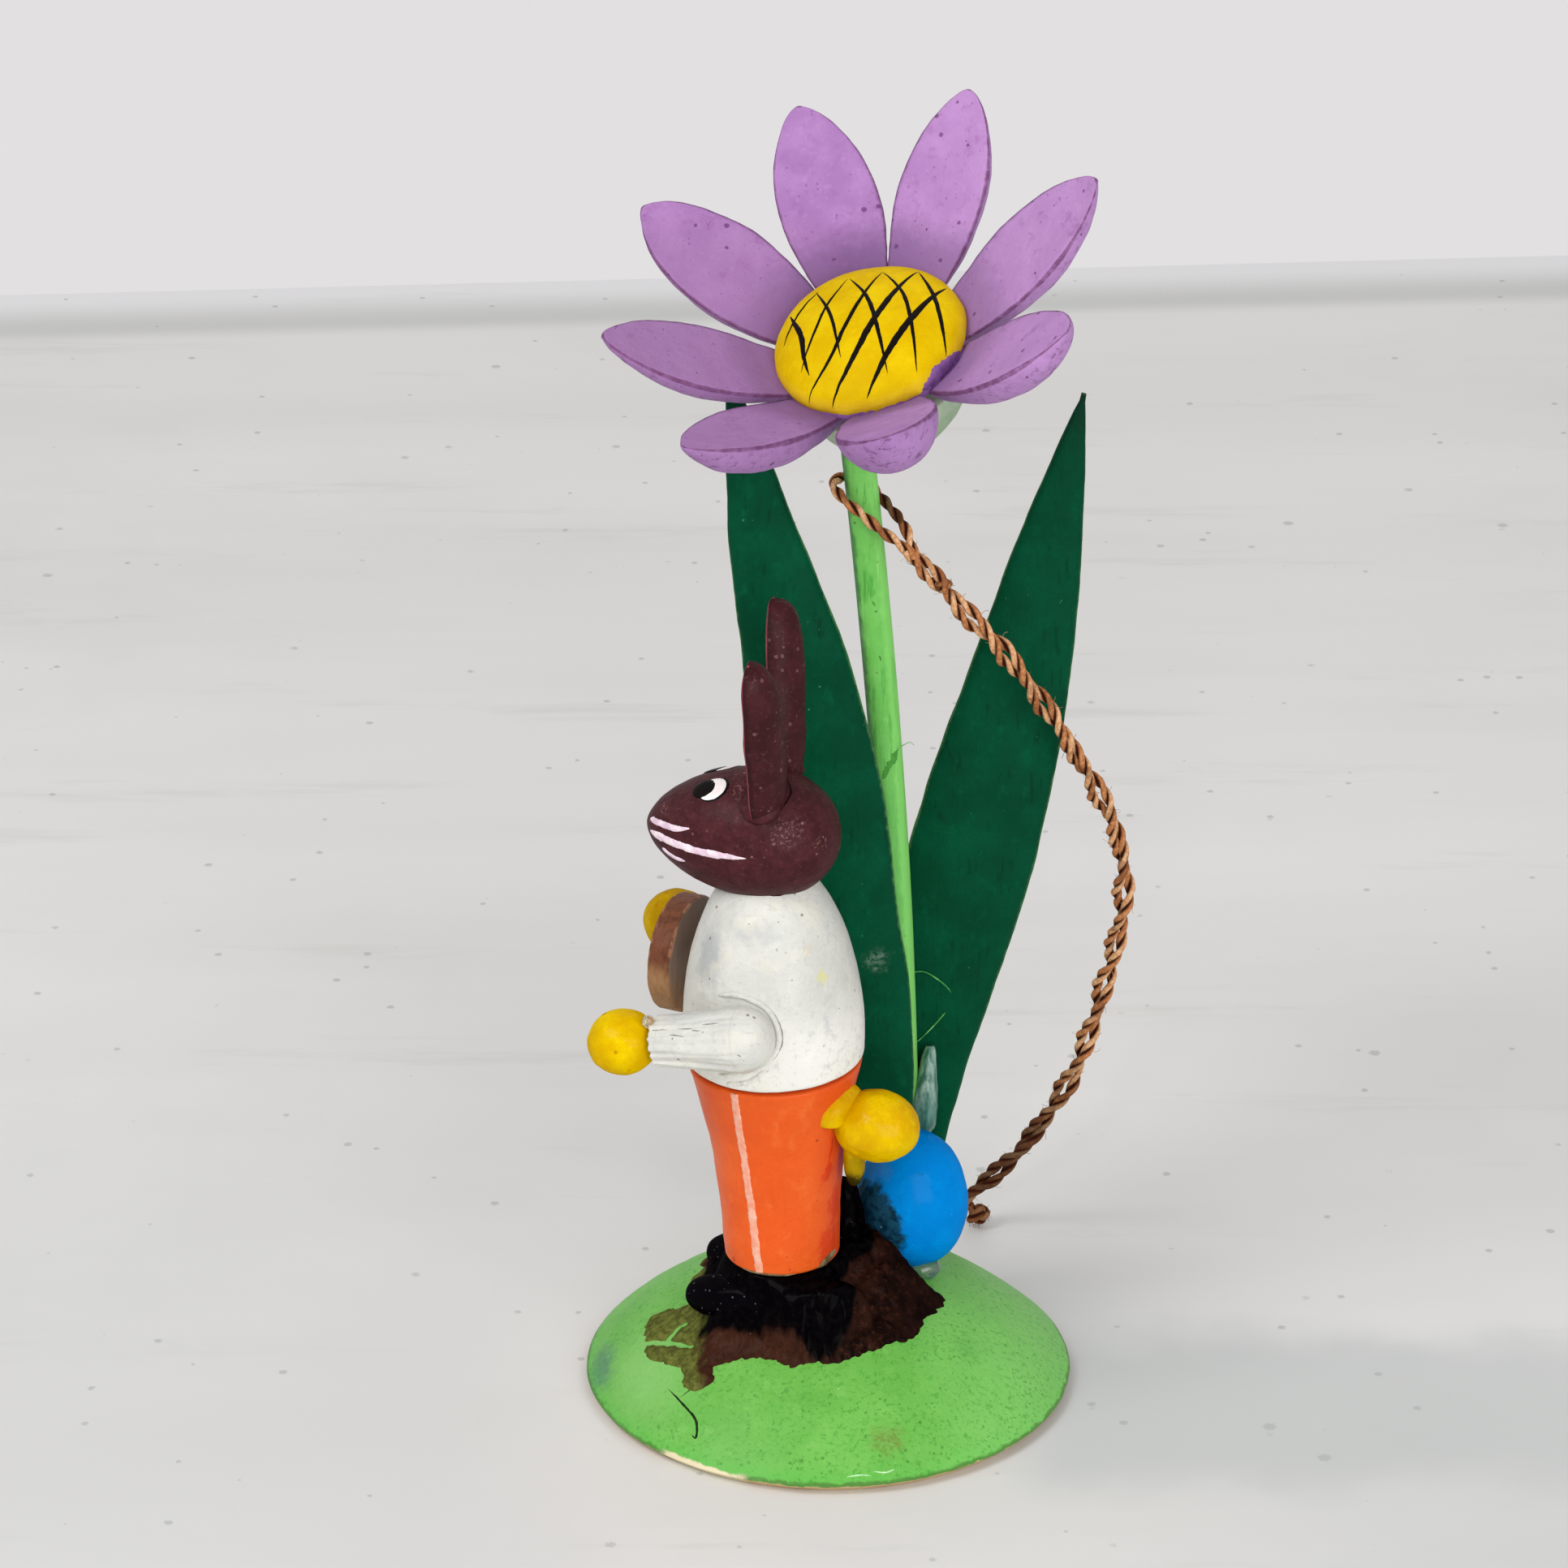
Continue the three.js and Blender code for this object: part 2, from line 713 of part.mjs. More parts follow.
const leftMidline = [
  v3(3.9, 6.5, 5.6), v3(3.7, 6.5, 14), v3(2.2, 6.5, 22.5), v3(0.4, 6.5, 29),
  v3(-0.7, 6.5, 37.4), v3(-2.2, 6.8, 45.8), v3(-4, 7.6, 53.2), v3(-6.1, 8.6, 63.8),
];
const rightMidline = [
  v3(5.9, 9.8, 3.4), v3(6.1, 9.8, 14), v3(7.5, 10, 25), v3(9.5, 10.5, 33.6),
  v3(11, 11, 39.6), v3(12.6, 11.6, 47), v3(14, 12.2, 54), v3(15.3, 12.8, 60.3),
];
piece(object, "leaf_left", cut(leafSkin(leftMidline, 0), domeBall(seam)), materials.leaf);
piece(object, "leaf_right", cut(leafSkin(rightMidline, 0), domeBall(seam)), materials.leaf);

// Dried brown glue round the shoes, risen to a mound behind the trousers
const glueOutline = [
  [-7.9, 4.9], [-8.5, -1.1], [-11, -0.5], [-11.25, -2.4], [-11.1, -4.4], [-8.9, -6.75],
  [-8.8, -7.9], [-8.2, -8.5], [-7.2, -8.6], [-7, -7.7], [-5.4, -7.9], [-3.8, -8.3],
  [-2.2, -9.2], [-1.4, -8.9], [0.2, -9.1], [1.8, -8.7], [3.5, -7.4], [5.5, -6], [5.9, -4.5],
  [7.2, -2.2], [5.8, -1.1], [4.5, 1], [2.6, 4.2], [-2.2, 5.6],
];

function makeGluePatch() {
  const outline = new THREE.Shape(glueOutline.map(([x, y]) => new THREE.Vector2(x, y)));
  const slab = new THREE.ExtrudeGeometry(outline, { depth: baseHeight + 1, bevelEnabled: false });
  const layer = common(slab, domeBall(seam + glueThickness));
  const mound = bean(moundWidth / 2, moundWidth / 2, moundHeight, moundBluntness, 16, 10)
    .translate(moundX, moundY, domeTop(moundX, moundY));
  const fromRabbit = [trouserTool(), shoeShape(-1, shoeForward, seam),
    shoeShape(1, farShoeForward, seam)].map((tool) => moved(tool, rabbit, object));
  return cut(join(layer, mound), domeBall(seam), ...fromRabbit, moved(eggShape(seam), egg, object));
}
piece(object, "glue_patch", makeGluePatch(), materials.glue);

// Clear glue: a bead under the egg and a run beside the right leaf's foot
const eggBead = bean(beadWidth / 2, beadDepth / 2, beadHeight / 2, 2, 14, 8)
  .translate(beadX, beadY, domeTop(beadX, beadY) + beadHeight / 2);
const beadTools = [domeBall(seam), moved(eggShape(seam), egg, object)];
piece(object, "egg_glue", cut(eggBead, ...beadTools), materials.clearGlue);

const leafRun = bean(runWidth / 2, runDepth / 2, runHeight / 2, 2, 12, 10)
  .translate(runX, runY, runZ);
const runTools = [leafSkin(rightMidline, seam), leafSkin(leftMidline, seam),
  stemRod(stemRadius + seam, stemFoot, stemTop, 14)];
piece(object, "leaf_glue", cut(leafRun, ...runTools), materials.clearGlue);

// Cord: a loop round the stem, then the twisted pair down to the knot on the table
const cordRoute = [
  v3(4.5, 5.9, 53.1), v3(5.2, 5.9, 52.4), v3(6.5, 5.9, 50.9), v3(7.7, 6.0, 49.4),
  v3(9.1, 6.2, 47.7), v3(10.4, 6.5, 46.2), v3(12.0, 7.2, 43.6), v3(13.7, 8.0, 40.8),
  v3(15.2, 8.8, 37.8), v3(16.5, 9.8, 35.1), v3(17.6, 11.0, 32.0), v3(18.2, 12.0, 29.2),
  v3(18.3, 13.0, 26.2), v3(18.0, 13.9, 23.3), v3(17.4, 14.8, 20.3), v3(16.8, 15.5, 17.5),
  v3(16.0, 16.2, 14.6), v3(15.3, 16.7, 12.4), v3(14.6, 17.2, 10.4), v3(13.8, 17.6, 8.5),
  v3(12.8, 18.0, 6.6), v3(11.8, 18.4, 5.0), v3(10.7, 18.7, 3.7), v3(10.0, 18.9, 2.9),
  v3(9.8, 18.95, 2.2), v3(9.75, 18.95, 1.7),
];
const knotPlace = v3(9.7, 18.95, 0.72);
piece(object, "cord", rod(cordRoute, cordDiameter / 2, 8, 30), materials.cord);

const hitchHeight = 55.6;
const hitchRadius = stemRadius + seam + strandDiameter / 2;
const hitchStem = stemPoint(hitchHeight);
const hitchLoop = [
  v3(4.0, 5.7, 53.9),
  v3(2.9, 6.2, 54.5),
  v3(hitchStem.x, hitchStem.y - hitchRadius - 0.1, hitchHeight - 0.4),
  v3(hitchStem.x - 0.75 * hitchRadius, hitchStem.y - 0.75 * hitchRadius, hitchHeight + 0.4),
  v3(hitchStem.x - 1.05 * hitchRadius, hitchStem.y, hitchHeight + 0.8),
  v3(hitchStem.x - 0.75 * hitchRadius, hitchStem.y + 0.75 * hitchRadius, hitchHeight + 0.7),
  v3(hitchStem.x, hitchStem.y + hitchRadius + 0.1, hitchHeight + 0.4),
  v3(hitchStem.x + 0.85 * hitchRadius, hitchStem.y + 0.75 * hitchRadius, hitchHeight - 0.1),
  v3(3.9, 7.6, 54.7),
  v3(4.3, 6.5, 54.0),
];
piece(object, "cord_loop", rod(hitchLoop, strandDiameter / 2, 8, 22), materials.cord);

const knot = bean(knotRadius, knotRadius, knotRadius, knotBluntness, 12, 8);
piece(object, "cord_knot", knot.translate(knotPlace.x, knotPlace.y, knotPlace.z), materials.cord);

export default object;
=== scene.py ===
from math import asin, atan2, cos, pi, radians, sin

import bmesh
import bpy
import numpy as np
from mathutils import Matrix, Vector, noise
from mathutils.bvhtree import BVHTree


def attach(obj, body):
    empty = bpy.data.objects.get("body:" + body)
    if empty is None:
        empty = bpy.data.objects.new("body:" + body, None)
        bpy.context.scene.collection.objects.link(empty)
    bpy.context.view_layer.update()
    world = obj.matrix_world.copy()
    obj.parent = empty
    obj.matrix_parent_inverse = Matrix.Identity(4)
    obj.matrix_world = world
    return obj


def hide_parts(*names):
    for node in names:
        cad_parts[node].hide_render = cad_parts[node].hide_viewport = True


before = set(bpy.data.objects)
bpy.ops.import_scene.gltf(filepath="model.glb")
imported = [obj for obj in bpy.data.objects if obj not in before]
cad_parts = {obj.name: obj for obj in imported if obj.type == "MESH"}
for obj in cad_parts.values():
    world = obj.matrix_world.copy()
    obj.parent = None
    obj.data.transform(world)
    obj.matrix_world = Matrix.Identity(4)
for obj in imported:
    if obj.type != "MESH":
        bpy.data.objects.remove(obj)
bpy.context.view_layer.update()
scene = bpy.context.scene
scene.view_settings.view_transform = "Standard"

unit = 0.001


# Camera at the photograph's place
def aimCamera(view):
    lens = bpy.data.cameras.new("camera")
    lens.sensor_width = view["sensor"]
    lens.lens = view["lens"]
    lens.clip_start = 0.05
    lens.clip_end = 5.0
    holder = bpy.data.objects.new("camera", lens)
    holder.location = [c * unit for c in view["place"]]
    holder.rotation_euler = (radians(view["pitch"]), 0, 0)
    scene.collection.objects.link(holder)
    scene.camera = holder


aimCamera({"place": (-2.75, -389.7, 225.0), "pitch": 64.65, "lens": 165.72, "sensor": 36.0})
print("camera placed")


# Placing
def move(x, y, z):
    return Matrix.Translation((x, y, z))


def turn(axis, degrees):
    return Matrix.Rotation(radians(degrees), 4, axis)


def carried(matrix, points):
    points = np.asarray(points, float)
    grid = np.array(matrix)
    return points @ grid[:3, :3].T + grid[:3, 3]


def spotOn(matrix, point):
    return tuple(carried(matrix, [point])[0])


def waveAt(*place):
    return noise.noise(Vector(place))


def angles(count):
    return np.linspace(0, 2 * pi, count, endpoint=False)


rabbit = move(-2.75, -2.3, 7.1) @ turn("Y", -1.9) @ turn("Z", -25)
head = rabbit @ move(0, 0, 31.2) @ turn("Y", 1) @ turn("Z", 10)
flowerTurn = radians(235)
flower = move(2.35, 7.1, 66) @ Matrix.Rotation(
    radians(26.5), 4, Vector((-sin(flowerTurn), cos(flowerTurn), 0)))

dome = {"rimRadius": 15.0, "rim": 0.63, "crown": 7.35, "footRadius": 14.4}
domeRise = dome["crown"] - dome["rim"]
domeRadius = (dome["rimRadius"] ** 2 + domeRise ** 2) / (2 * domeRise)
domeCentre = dome["crown"] - domeRadius


def domeTop(x, y):
    return domeCentre + np.sqrt(np.maximum(domeRadius ** 2 - x * x - y * y, 0))


# Curves through points
def smoothLine(points, count, centripetal=True):
    points = np.asarray(points, float)
    if centripetal:
        ends = (2 * points[0] - points[1], 2 * points[-1] - points[-2])
    else:
        ends = (points[0], points[-1])
    full = np.vstack([ends[0], points, ends[1]])
    out = []
    for i in range(1, len(full) - 2):
        a, b, c, d = full[i - 1:i + 3]
        gaps = [max(np.linalg.norm(q - p), 1e-6) ** 0.5 if centripetal else 1.0
                for p, q in ((a, b), (b, c), (c, d))]
        m1 = (b - a) / gaps[0] - (c - a) / (gaps[0] + gaps[1]) + (c - b) / gaps[1]
        m2 = (c - b) / gaps[1] - (d - b) / (gaps[1] + gaps[2]) + (d - c) / gaps[2]
        m1, m2 = m1 * gaps[1], m2 * gaps[1]
        t = np.linspace(0, 1, 24, endpoint=False)[:, None]
        out.append((2 * t ** 3 - 3 * t ** 2 + 1) * b + (t ** 3 - 2 * t ** 2 + t) * m1
                   + (3 * t ** 2 - 2 * t ** 3) * c + (t ** 3 - t ** 2) * m2)
    fine = np.vstack(out + [full[-2][None, :]])
    steps = np.linalg.norm(np.diff(fine, axis=0), axis=1)
    run = np.concatenate([[0], np.cumsum(steps)])
    wanted = np.linspace(0, run[-1], count)
    return np.stack([np.interp(wanted, run, fine[:, k]) for k in range(fine.shape[1])], 1)


def lineLength(points):
    return float(np.linalg.norm(np.diff(np.asarray(points, float), axis=0), axis=1).sum())


# Skins
def ringSkin(rings, startCap=True, endCap=True):
    rings = np.asarray(rings, float)
    count, around = rings.shape[:2]
    points = rings.reshape(-1, 3)
    i = np.arange(count - 1)[:, None] * around + np.arange(around)[None, :]
    j = np.roll(i, -1, axis=1)
    faces = np.stack([i, j, j + around, i + around], -1).reshape(-1, 4).tolist()
    for capped, row in ((startCap, 0), (endCap, count - 1)):
        if not capped:
            continue
        hub = len(points)
        points = np.vstack([points, rings[row].mean(0)])
        for k in range(around):
            pair = [row * around + k, row * around + (k + 1) % around]
            faces.append([hub, *(pair[::-1] if row == 0 else pair)])
    return points, faces


def turned(profile, around):
    return [[(r * cos(a), r * sin(a), z) for a in angles(around)] for r, z in profile]


def bean(halfX, halfY, halfZ, bluntness=2.0, around=72, count=48):
    rings, turns = [], angles(around)
    for tall in np.cos(np.linspace(pi - 0.03, 0.03, count)):
        tall = np.sign(tall) * abs(tall) ** (2 / bluntness)
        wide = max(1 - abs(tall) ** bluntness, 1e-6) ** (1 / bluntness)
        rings.append(np.stack([halfX * wide * np.cos(turns), halfY * wide * np.sin(turns),
                               np.full(around, tall * halfZ)], 1))
    return rings


# A sheet of paint or glue over a skin: points snapped to it, thickest in the middle
def snap(tree, point, lift):
    place, normal, _, _ = tree.find_nearest(Vector(point))
    return np.array(place + normal * lift)


def strokeSheet(tree, line, half, height, seed, rag=0.16, taper=(0.3, 0.3), spacing=0.09):
    count = max(int(lineLength(line) / spacing), 6)
    spine = smoothLine(line, count)
    cross = np.array([-1, -0.82, -0.5, 0, 0.5, 0.82, 1])
    domed = np.array([-0.03, 0.55, 0.9, 1, 0.9, 0.55, -0.03])
    grid = []
    for i, point in enumerate(spine):
        place, normal, _, _ = tree.find_nearest(Vector(point))
        along = Vector(spine[min(i + 1, count - 1)] - spine[max(i - 1, 0)]).normalized()
        side = normal.cross(along).normalized()
        t, run = i / (count - 1), i * spacing
        ends = min(1, (t + 0.004) / max(taper[0], 1e-3)) ** 0.6 * min(
            1, (1.004 - t) / max(taper[1], 1e-3)) ** 0.6
        row = []
        for c, rise in zip(cross, domed):
            wave = waveAt(run * 2.6, seed + 7.3 * np.sign(c), 0.4)
            wave += 0.6 * waveAt(run * 7.1, seed - 3.1 * np.sign(c), 2.4)
            spread = c * half * ends * (1 + 1.6 * rag * wave)
            lift = height * rise * (0.75 + 0.5 * abs(wave)) * min(1, ends * 1.4)
            row.append(snap(tree, place + side * float(spread), lift if rise > 0 else -0.03))
        grid.append(row)
    wide = len(cross)
    faces = [[i * wide + k, i * wide + k + 1, (i + 1) * wide + k + 1, (i + 1) * wide + k]
             for i in range(count - 1) for k in range(wide - 1)]
    return np.array(grid).reshape(-1, 3), faces


def strokeRows(tree, place, rows, height, seedStep, firstSeed, **shape):
    return [strokeSheet(tree, carried(place, line), half, height, seedStep * i + firstSeed,
                        **shape) for i, (line, half) in enumerate(rows)]


def patchSheet(tree, centre, outline, height, seed, rag=0.05, rings=9, around=64):
    edge = smoothLine(np.vstack([outline, outline[:1]]), around + 1)[:-1]
    centre = np.asarray(centre, float)
    grid = []
    for r in np.linspace(0.08, 1, rings):
        rise = height * (1 - r ** 6) if r < 0.999 else -0.03
        grid.append([snap(tree, centre + (point - centre) * r * (
            1 + rag * 1.8 * waveAt(k * 0.55, seed, 0.2) * r), rise)
            for k, point in enumerate(edge)])
    return ringSkin(grid, endCap=False)


def together(sheets):
    points, faces, start = [], [], 0
    for corners, sides in sheets:
        points.append(np.asarray(corners))
        faces += [[start + k for k in side] for side in sides]
        start += len(corners)
    return np.vstack(points), faces


# Making pieces
def makePiece(name, skin, material, nodes=(), place=None, closed=True):
    points, faces = skin
    if place is not None:
        points = carried(place, points)
    mesh = bpy.data.meshes.new(name)
    mesh.from_pydata((np.asarray(points) * unit).tolist(), [], faces)
    mesh.validate()
    mesh.shade_smooth()
    piece = bpy.data.objects.new(name, mesh)
    scene.collection.objects.link(piece)
    if closed:
        fixNormals(mesh)
    mesh.materials.append(material)
    register(piece, nodes)
    return piece


def makeTurned(name, profile, around, material, node, place, terms, keep=None):
    piece = makePiece(name, ringSkin(turned(profile, around)), material, [node], place)
    roughen(piece, terms, keep)
    return piece


def makeStrokes(name, sheets, material):
    makePiece(name, together(sheets), material, closed=False)


def fixNormals(mesh):
    work = bmesh.new()
    work.from_mesh(mesh)
    bmesh.ops.recalc_face_normals(work, faces=work.faces)
    work.to_mesh(mesh)
    work.free()


def register(piece, nodes=()):
    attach(piece, "root")
    if nodes:
        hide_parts(*nodes)


# Moves each vertex along its normal, by millimetres worked out from the places
def pushOut(piece, shiftAt):
    mesh = piece.data
    places, normals = np.zeros((2, len(mesh.vertices), 3))
    mesh.vertices.foreach_get("co", places.ravel())
    mesh.vertices.foreach_get("normal", normals.ravel())
    places += normals * (np.array(shiftAt(places / unit)) * unit)[:, None]
    mesh.vertices.foreach_set("co", places.ravel())
    mesh.update()


def roughen(piece, terms, keep=None):
    def shiftAt(places):
        shift = np.array([sum(
            amount * noise.noise(Vector(place / size) + Vector((seed, 0, -seed)))
            for amount, size, seed in terms) for place in places])
        return shift if keep is None else shift * keep(places)

    pushOut(piece, shiftAt)


def storeValue(piece, name, values):
    layer = piece.data.attributes.new(name, "FLOAT", "POINT")
    layer.data.foreach_set("value", np.asarray(values, np.float32))


def surfaceOf(piece):
    mesh = piece.data
    points = [v.co / unit for v in mesh.vertices]
    return BVHTree.FromPolygons(points, [list(p.vertices) for p in mesh.polygons])


def tone(red, green, blue):
    line = [((c / 255 + 0.055) / 1.055) ** 2.4 if c > 10 else c / 255 / 12.92
            for c in (red, green, blue)]
    return (*line, 1.0)


# Node writing
class Wires:
    def __init__(self, tree):
        self.tree = tree
        self.made = 0

    def node(self, kind, feeds=None, **settings):
        made = self.tree.nodes.new(kind)
        made.location = (190 * (self.made % 14), -210 * (self.made // 14))
        self.made += 1
        for key, value in settings.items():
            setattr(made, key, value)
        for key, value in (feeds or {}).items():
            self.feed(made.inputs[key], value)
        return made

    def feed(self, socket, value):
        if isinstance(value, bpy.types.NodeSocket):
            self.tree.links.new(value, socket)
        else:
            socket.default_value = value

    def math(self, operation, a, b=0.0):
        return self.node("ShaderNodeMath", {0: a, 1: b}, operation=operation).outputs[0]

    def times(self, a, b):
        return self.math("MULTIPLY", a, b)

    def plus(self, a, b):
        return self.math("ADD", a, b)

    def minus(self, a, b):
        return self.math("SUBTRACT", a, b)

    def divide(self, a, b):
        return self.math("DIVIDE", a, b)

    def vector(self, operation, a, b=(0, 0, 0), scale=None):
        feeds = {0: a, 1: b} if scale is None else {0: a, "Scale": scale}
        out = "Value" if operation in ("LENGTH", "DISTANCE") else "Vector"
        return self.node("ShaderNodeVectorMath", feeds, operation=operation).outputs[out]

    def mix(self, share, a, b):
        return self.node("ShaderNodeMix", {0: share, 6: a, 7: b}, data_type="RGBA").outputs[2]

    def band(self, value, low, high, start=0.0, end=1.0):
        return self.node("ShaderNodeMapRange", {
            "Value": value, 1: low, 2: high, 3: start, 4: end},
            interpolation_type="SMOOTHSTEP").outputs[0]

    def between(self, value, low, high, one, two):
        return self.mix(self.band(value, low, high), tone(*one), tone(*two))

    # A value whose level wanders with the noise
    def ragged(self, value, wave, amount):
        return self.plus(value, self.times(self.minus(wave, 0.5), amount))

    def noise(self, vector, scale, detail=3.0, rough=0.55):
        return self.node("ShaderNodeTexNoise", {
            "Vector": vector, "Scale": scale, "Detail": detail, "Roughness": rough}).outputs[0]

    def drift(self, vector, scale, detail):
        return self.node("ShaderNodeTexNoise", {
            "Vector": vector, "Scale": scale, "Detail": detail}).outputs[1]

    def stretch(self, vector, *shares):
        return self.vector("MULTIPLY", vector, shares)

    def attribute(self, name):
        return self.node("ShaderNodeAttribute", attribute_name=name).outputs["Fac"]


floatKind, colourKind, vectorKind = "NodeSocketFloat", "NodeSocketColor", "NodeSocketVector"


# An input is a kind of socket, or a number to start from
def makeGroup(name, inputs, outputs, build):
    tree = bpy.data.node_groups.new(name, "ShaderNodeTree")
    for label, value in {"Place": vectorKind, **inputs}.items():
        numeric = isinstance(value, float)
        socket = tree.interface.new_socket(label, in_out="INPUT",
                                           socket_type=floatKind if numeric else value)
        if numeric:
            socket.default_value = value
    for label in outputs:
        tree.interface.new_socket(label, in_out="OUTPUT", socket_type=(
            colourKind if label == "Colour" else floatKind))
    w = Wires(tree)
    results = build(w, w.node("NodeGroupInput").outputs)
    w.node("NodeGroupOutput", dict(zip(outputs, results)))
    return tree


# Paint that clouds between a deep and a pale tone, with fine grain and orange-peel relief
def buildCoat(w, given):
    place = given["Place"]
    cloud = w.noise(place, given["Cloud"], 5.0, 0.6)
    patch = w.noise(w.stretch(place, 1.0, 1.0, 0.7), w.times(given["Cloud"], 3.7), 4.0, 0.62)
    fine = w.noise(place, 5.5, 3.0, 0.6)
    deep = w.mix(w.band(cloud, 0.34, 0.72), given["Deep"], given["Main"])
    pale = w.mix(w.band(patch, 0.52, 0.86, 0.0, 0.75), deep, given["Pale"])
    grained = w.mix(w.band(fine, 0.3, 0.72, 0.0, 0.28), pale, given["Deep"])
    peel = w.noise(place, 2.2, 4.0, 0.6)
    height = w.plus(w.times(peel, 0.7), w.times(fine, 0.3))
    return grained, height, w.band(patch, 0.3, 0.8, -0.06, 0.1)


coat = makeGroup(
    "coat", {"Main": colourKind, "Deep": colourKind, "Pale": colourKind, "Cloud": 0.3},
    ("Colour", "Height", "Rough"), buildCoat)


# Round specks and pits, some cells bare
def buildSpecks(w, given):
    place = given["Place"]
    cells = w.node("ShaderNodeTexVoronoi", {
        "Vector": place, "Scale": given["Scale"], "Randomness": 1.0}).outputs
    shade = w.node("ShaderNodeSeparateColor", {0: cells["Color"]}).outputs
    size = w.times(given["Size"], w.band(shade[1], 0.0, 1.0, 0.3, 1.3))
    dot = w.minus(w.ragged(size, w.noise(place, 7.0, 2.0), 0.16), cells["Distance"])
    kept = w.math("LESS_THAN", shade[0], given["Share"])
    return [w.times(w.band(dot, 0.0, 0.06), kept)]


specks = makeGroup("specks", {"Scale": 1.0, "Size": 0.15, "Share": 0.4}, ["Mask"], buildSpecks)


# Thin scratches and brush lines, drawn out along one direction
def buildScuffs(w, given):
    place = given["Place"]
    bent = w.vector("ADD", w.vector("MULTIPLY", place, given["Stretch"]),
                    w.vector("SCALE", w.drift(place, 0.5, 1.0), scale=0.6))
    lines = w.noise(bent, 1.0, 5.0, 0.62)
    line = w.band(lines, given["Cut"], w.plus(given["Cut"], 0.05))
    return w.times(line, w.band(w.noise(place, 0.45, 2.0), 0.45, 0.62)), lines


scuffs = makeGroup("scuffs", {"Stretch": vectorKind, "Cut": 0.62}, ("Mask", "Lines"), buildScuffs)


# One soft-edged stain at a place on the piece, in its own millimetres
def buildStain(w, given):
    place = given["Place"]
    offset = w.vector("SCALE", w.vector("SUBTRACT", w.drift(place, 1.6, 4.0), (0.5, 0.5, 0.5)),
                      scale=1.6)
    away = w.vector("SUBTRACT", w.vector("ADD", place, offset), given["Centre"])
    away = w.vector("LENGTH", w.vector("DIVIDE", away, given["Reach"]))
    return [w.band(away, 1.0, w.minus(1.0, given["Soft"]))]


stain = makeGroup("stain", {"Centre": vectorKind, "Reach": vectorKind, "Soft": 0.75}, ["Mask"],
                  buildStain)


# Paint worn off along an edge, from the edge values stored on the piece
def buildWear(w, given):
    reach = w.ragged(given["Edge"], w.noise(given["Place"], 1.7, 5.0, 0.65), given["Rag"])
    return [w.band(reach, given["From"], w.plus(given["From"], 0.08))]


wear = makeGroup("wear", {"Edge": 0.0, "From": 0.8, "Rag": 0.3}, ["Mask"], buildWear)


# Wood grain: drawn-out fibres with darker pores
def buildGrain(w, given):
    drawn = w.vector("MULTIPLY", given["Place"], given["Stretch"])
    fibres = w.noise(drawn, 1.0, 6.0, 0.7)
    bands = w.band(w.noise(drawn, 0.28, 2.0, 0.5), 0.25, 0.65, 0.5, 1.0)
    return w.times(w.band(fibres, 0.35, 0.75), bands), fibres


grain = makeGroup("grain", {"Stretch": vectorKind}, ("Mask", "Height"), buildGrain)


# One material: its recipe lays one layer over another, then sets roughness and relief
class Finish:
    def __init__(self, name, rough, coatWeight=0.0, coatRough=0.12, relief=0.0, specular=0.25):
        self.material = bpy.data.materials.new(name)
        self.material.use_nodes = True
        self.material.node_tree.nodes.clear()
        self.wires = w = Wires(self.material.node_tree)
        place = w.node("ShaderNodeTexCoord").outputs["Object"]
        self.mm = w.vector("SCALE", place, scale=1 / unit)
        self.x, self.y, self.z = w.node("ShaderNodeSeparateXYZ", {0: self.mm}).outputs
        self.rough, self.relief = rough, relief
        self.colour = self.height = self.roughShift = None
        self.shader = w.node("ShaderNodeBsdfPrincipled", {
            "Coat Weight": coatWeight, "Coat Roughness": coatRough,
            "Specular IOR Level": specular})
        w.node("ShaderNodeOutputMaterial", {0: self.shader.outputs[0]})

    def use(self, group, **feeds):
        made = self.wires.node("ShaderNodeGroup", node_tree=group)
        for key, value in {"Place": self.mm, **feeds}.items():
            self.wires.feed(made.inputs[key], value)
        return made.outputs

    def noise(self, *facts):
        return self.wires.noise(self.mm, *facts)

    def cloud(self, low, high, *facts):
        return self.wires.band(self.noise(*facts), low, high)

    def paint(self, main, deep, pale, cloud):
        self.colour, self.height, self.roughShift = self.use(
            coat, Main=tone(*main), Deep=tone(*deep), Pale=tone(*pale), Cloud=cloud)

    def over(self, mask, paint, share=1.0, within=None):
        if within is not None:
            mask = self.wires.times(mask, within)
        layer = tone(*paint) if isinstance(paint, tuple) else paint
        self.colour = self.wires.mix(self.wires.times(mask, share), self.colour, layer)

    def dots(self, scale, size, part, paint, share, within=None):
        mask = self.use(specks, Scale=scale, Size=size, Share=part)["Mask"]
        self.over(mask, paint, share, within)

    def mark(self, centre, reach, paint, share, soft=0.75, within=None):
        mask = self.use(stain, Centre=centre, Reach=reach, Soft=soft)["Mask"]
        self.over(mask, paint, share, within)

    def worn(self, start, rag, paint, share, within=None):
        edge = self.wires.attribute("edge")
        self.over(self.use(wear, Edge=edge, From=start, Rag=rag)["Mask"], paint, share, within)

    # The lines may also raise the relief
    def scuff(self, stretch, cut, paint, share, lift=0.0):
        lines = self.use(scuffs, Stretch=stretch, Cut=cut)
        self.over(lines["Mask"], paint, share)
        if lift:
            self.height = self.wires.plus(self.height, self.wires.times(lines["Lines"], lift))

    def finish(self, height=None):
        w, shader = self.wires, self.shader.inputs
        height = self.height if height is None else height
        w.feed(shader["Base Color"], self.colour)
        w.feed(shader["Roughness"], self.rough if self.roughShift is None else w.plus(
            self.roughShift, self.rough))
        if height is not None and self.relief:
            w.feed(shader["Normal"], w.node("ShaderNodeBump", {
                "Strength": 1.0, "Distance": self.relief * unit, "Height": height}).outputs[0])
        return self.material


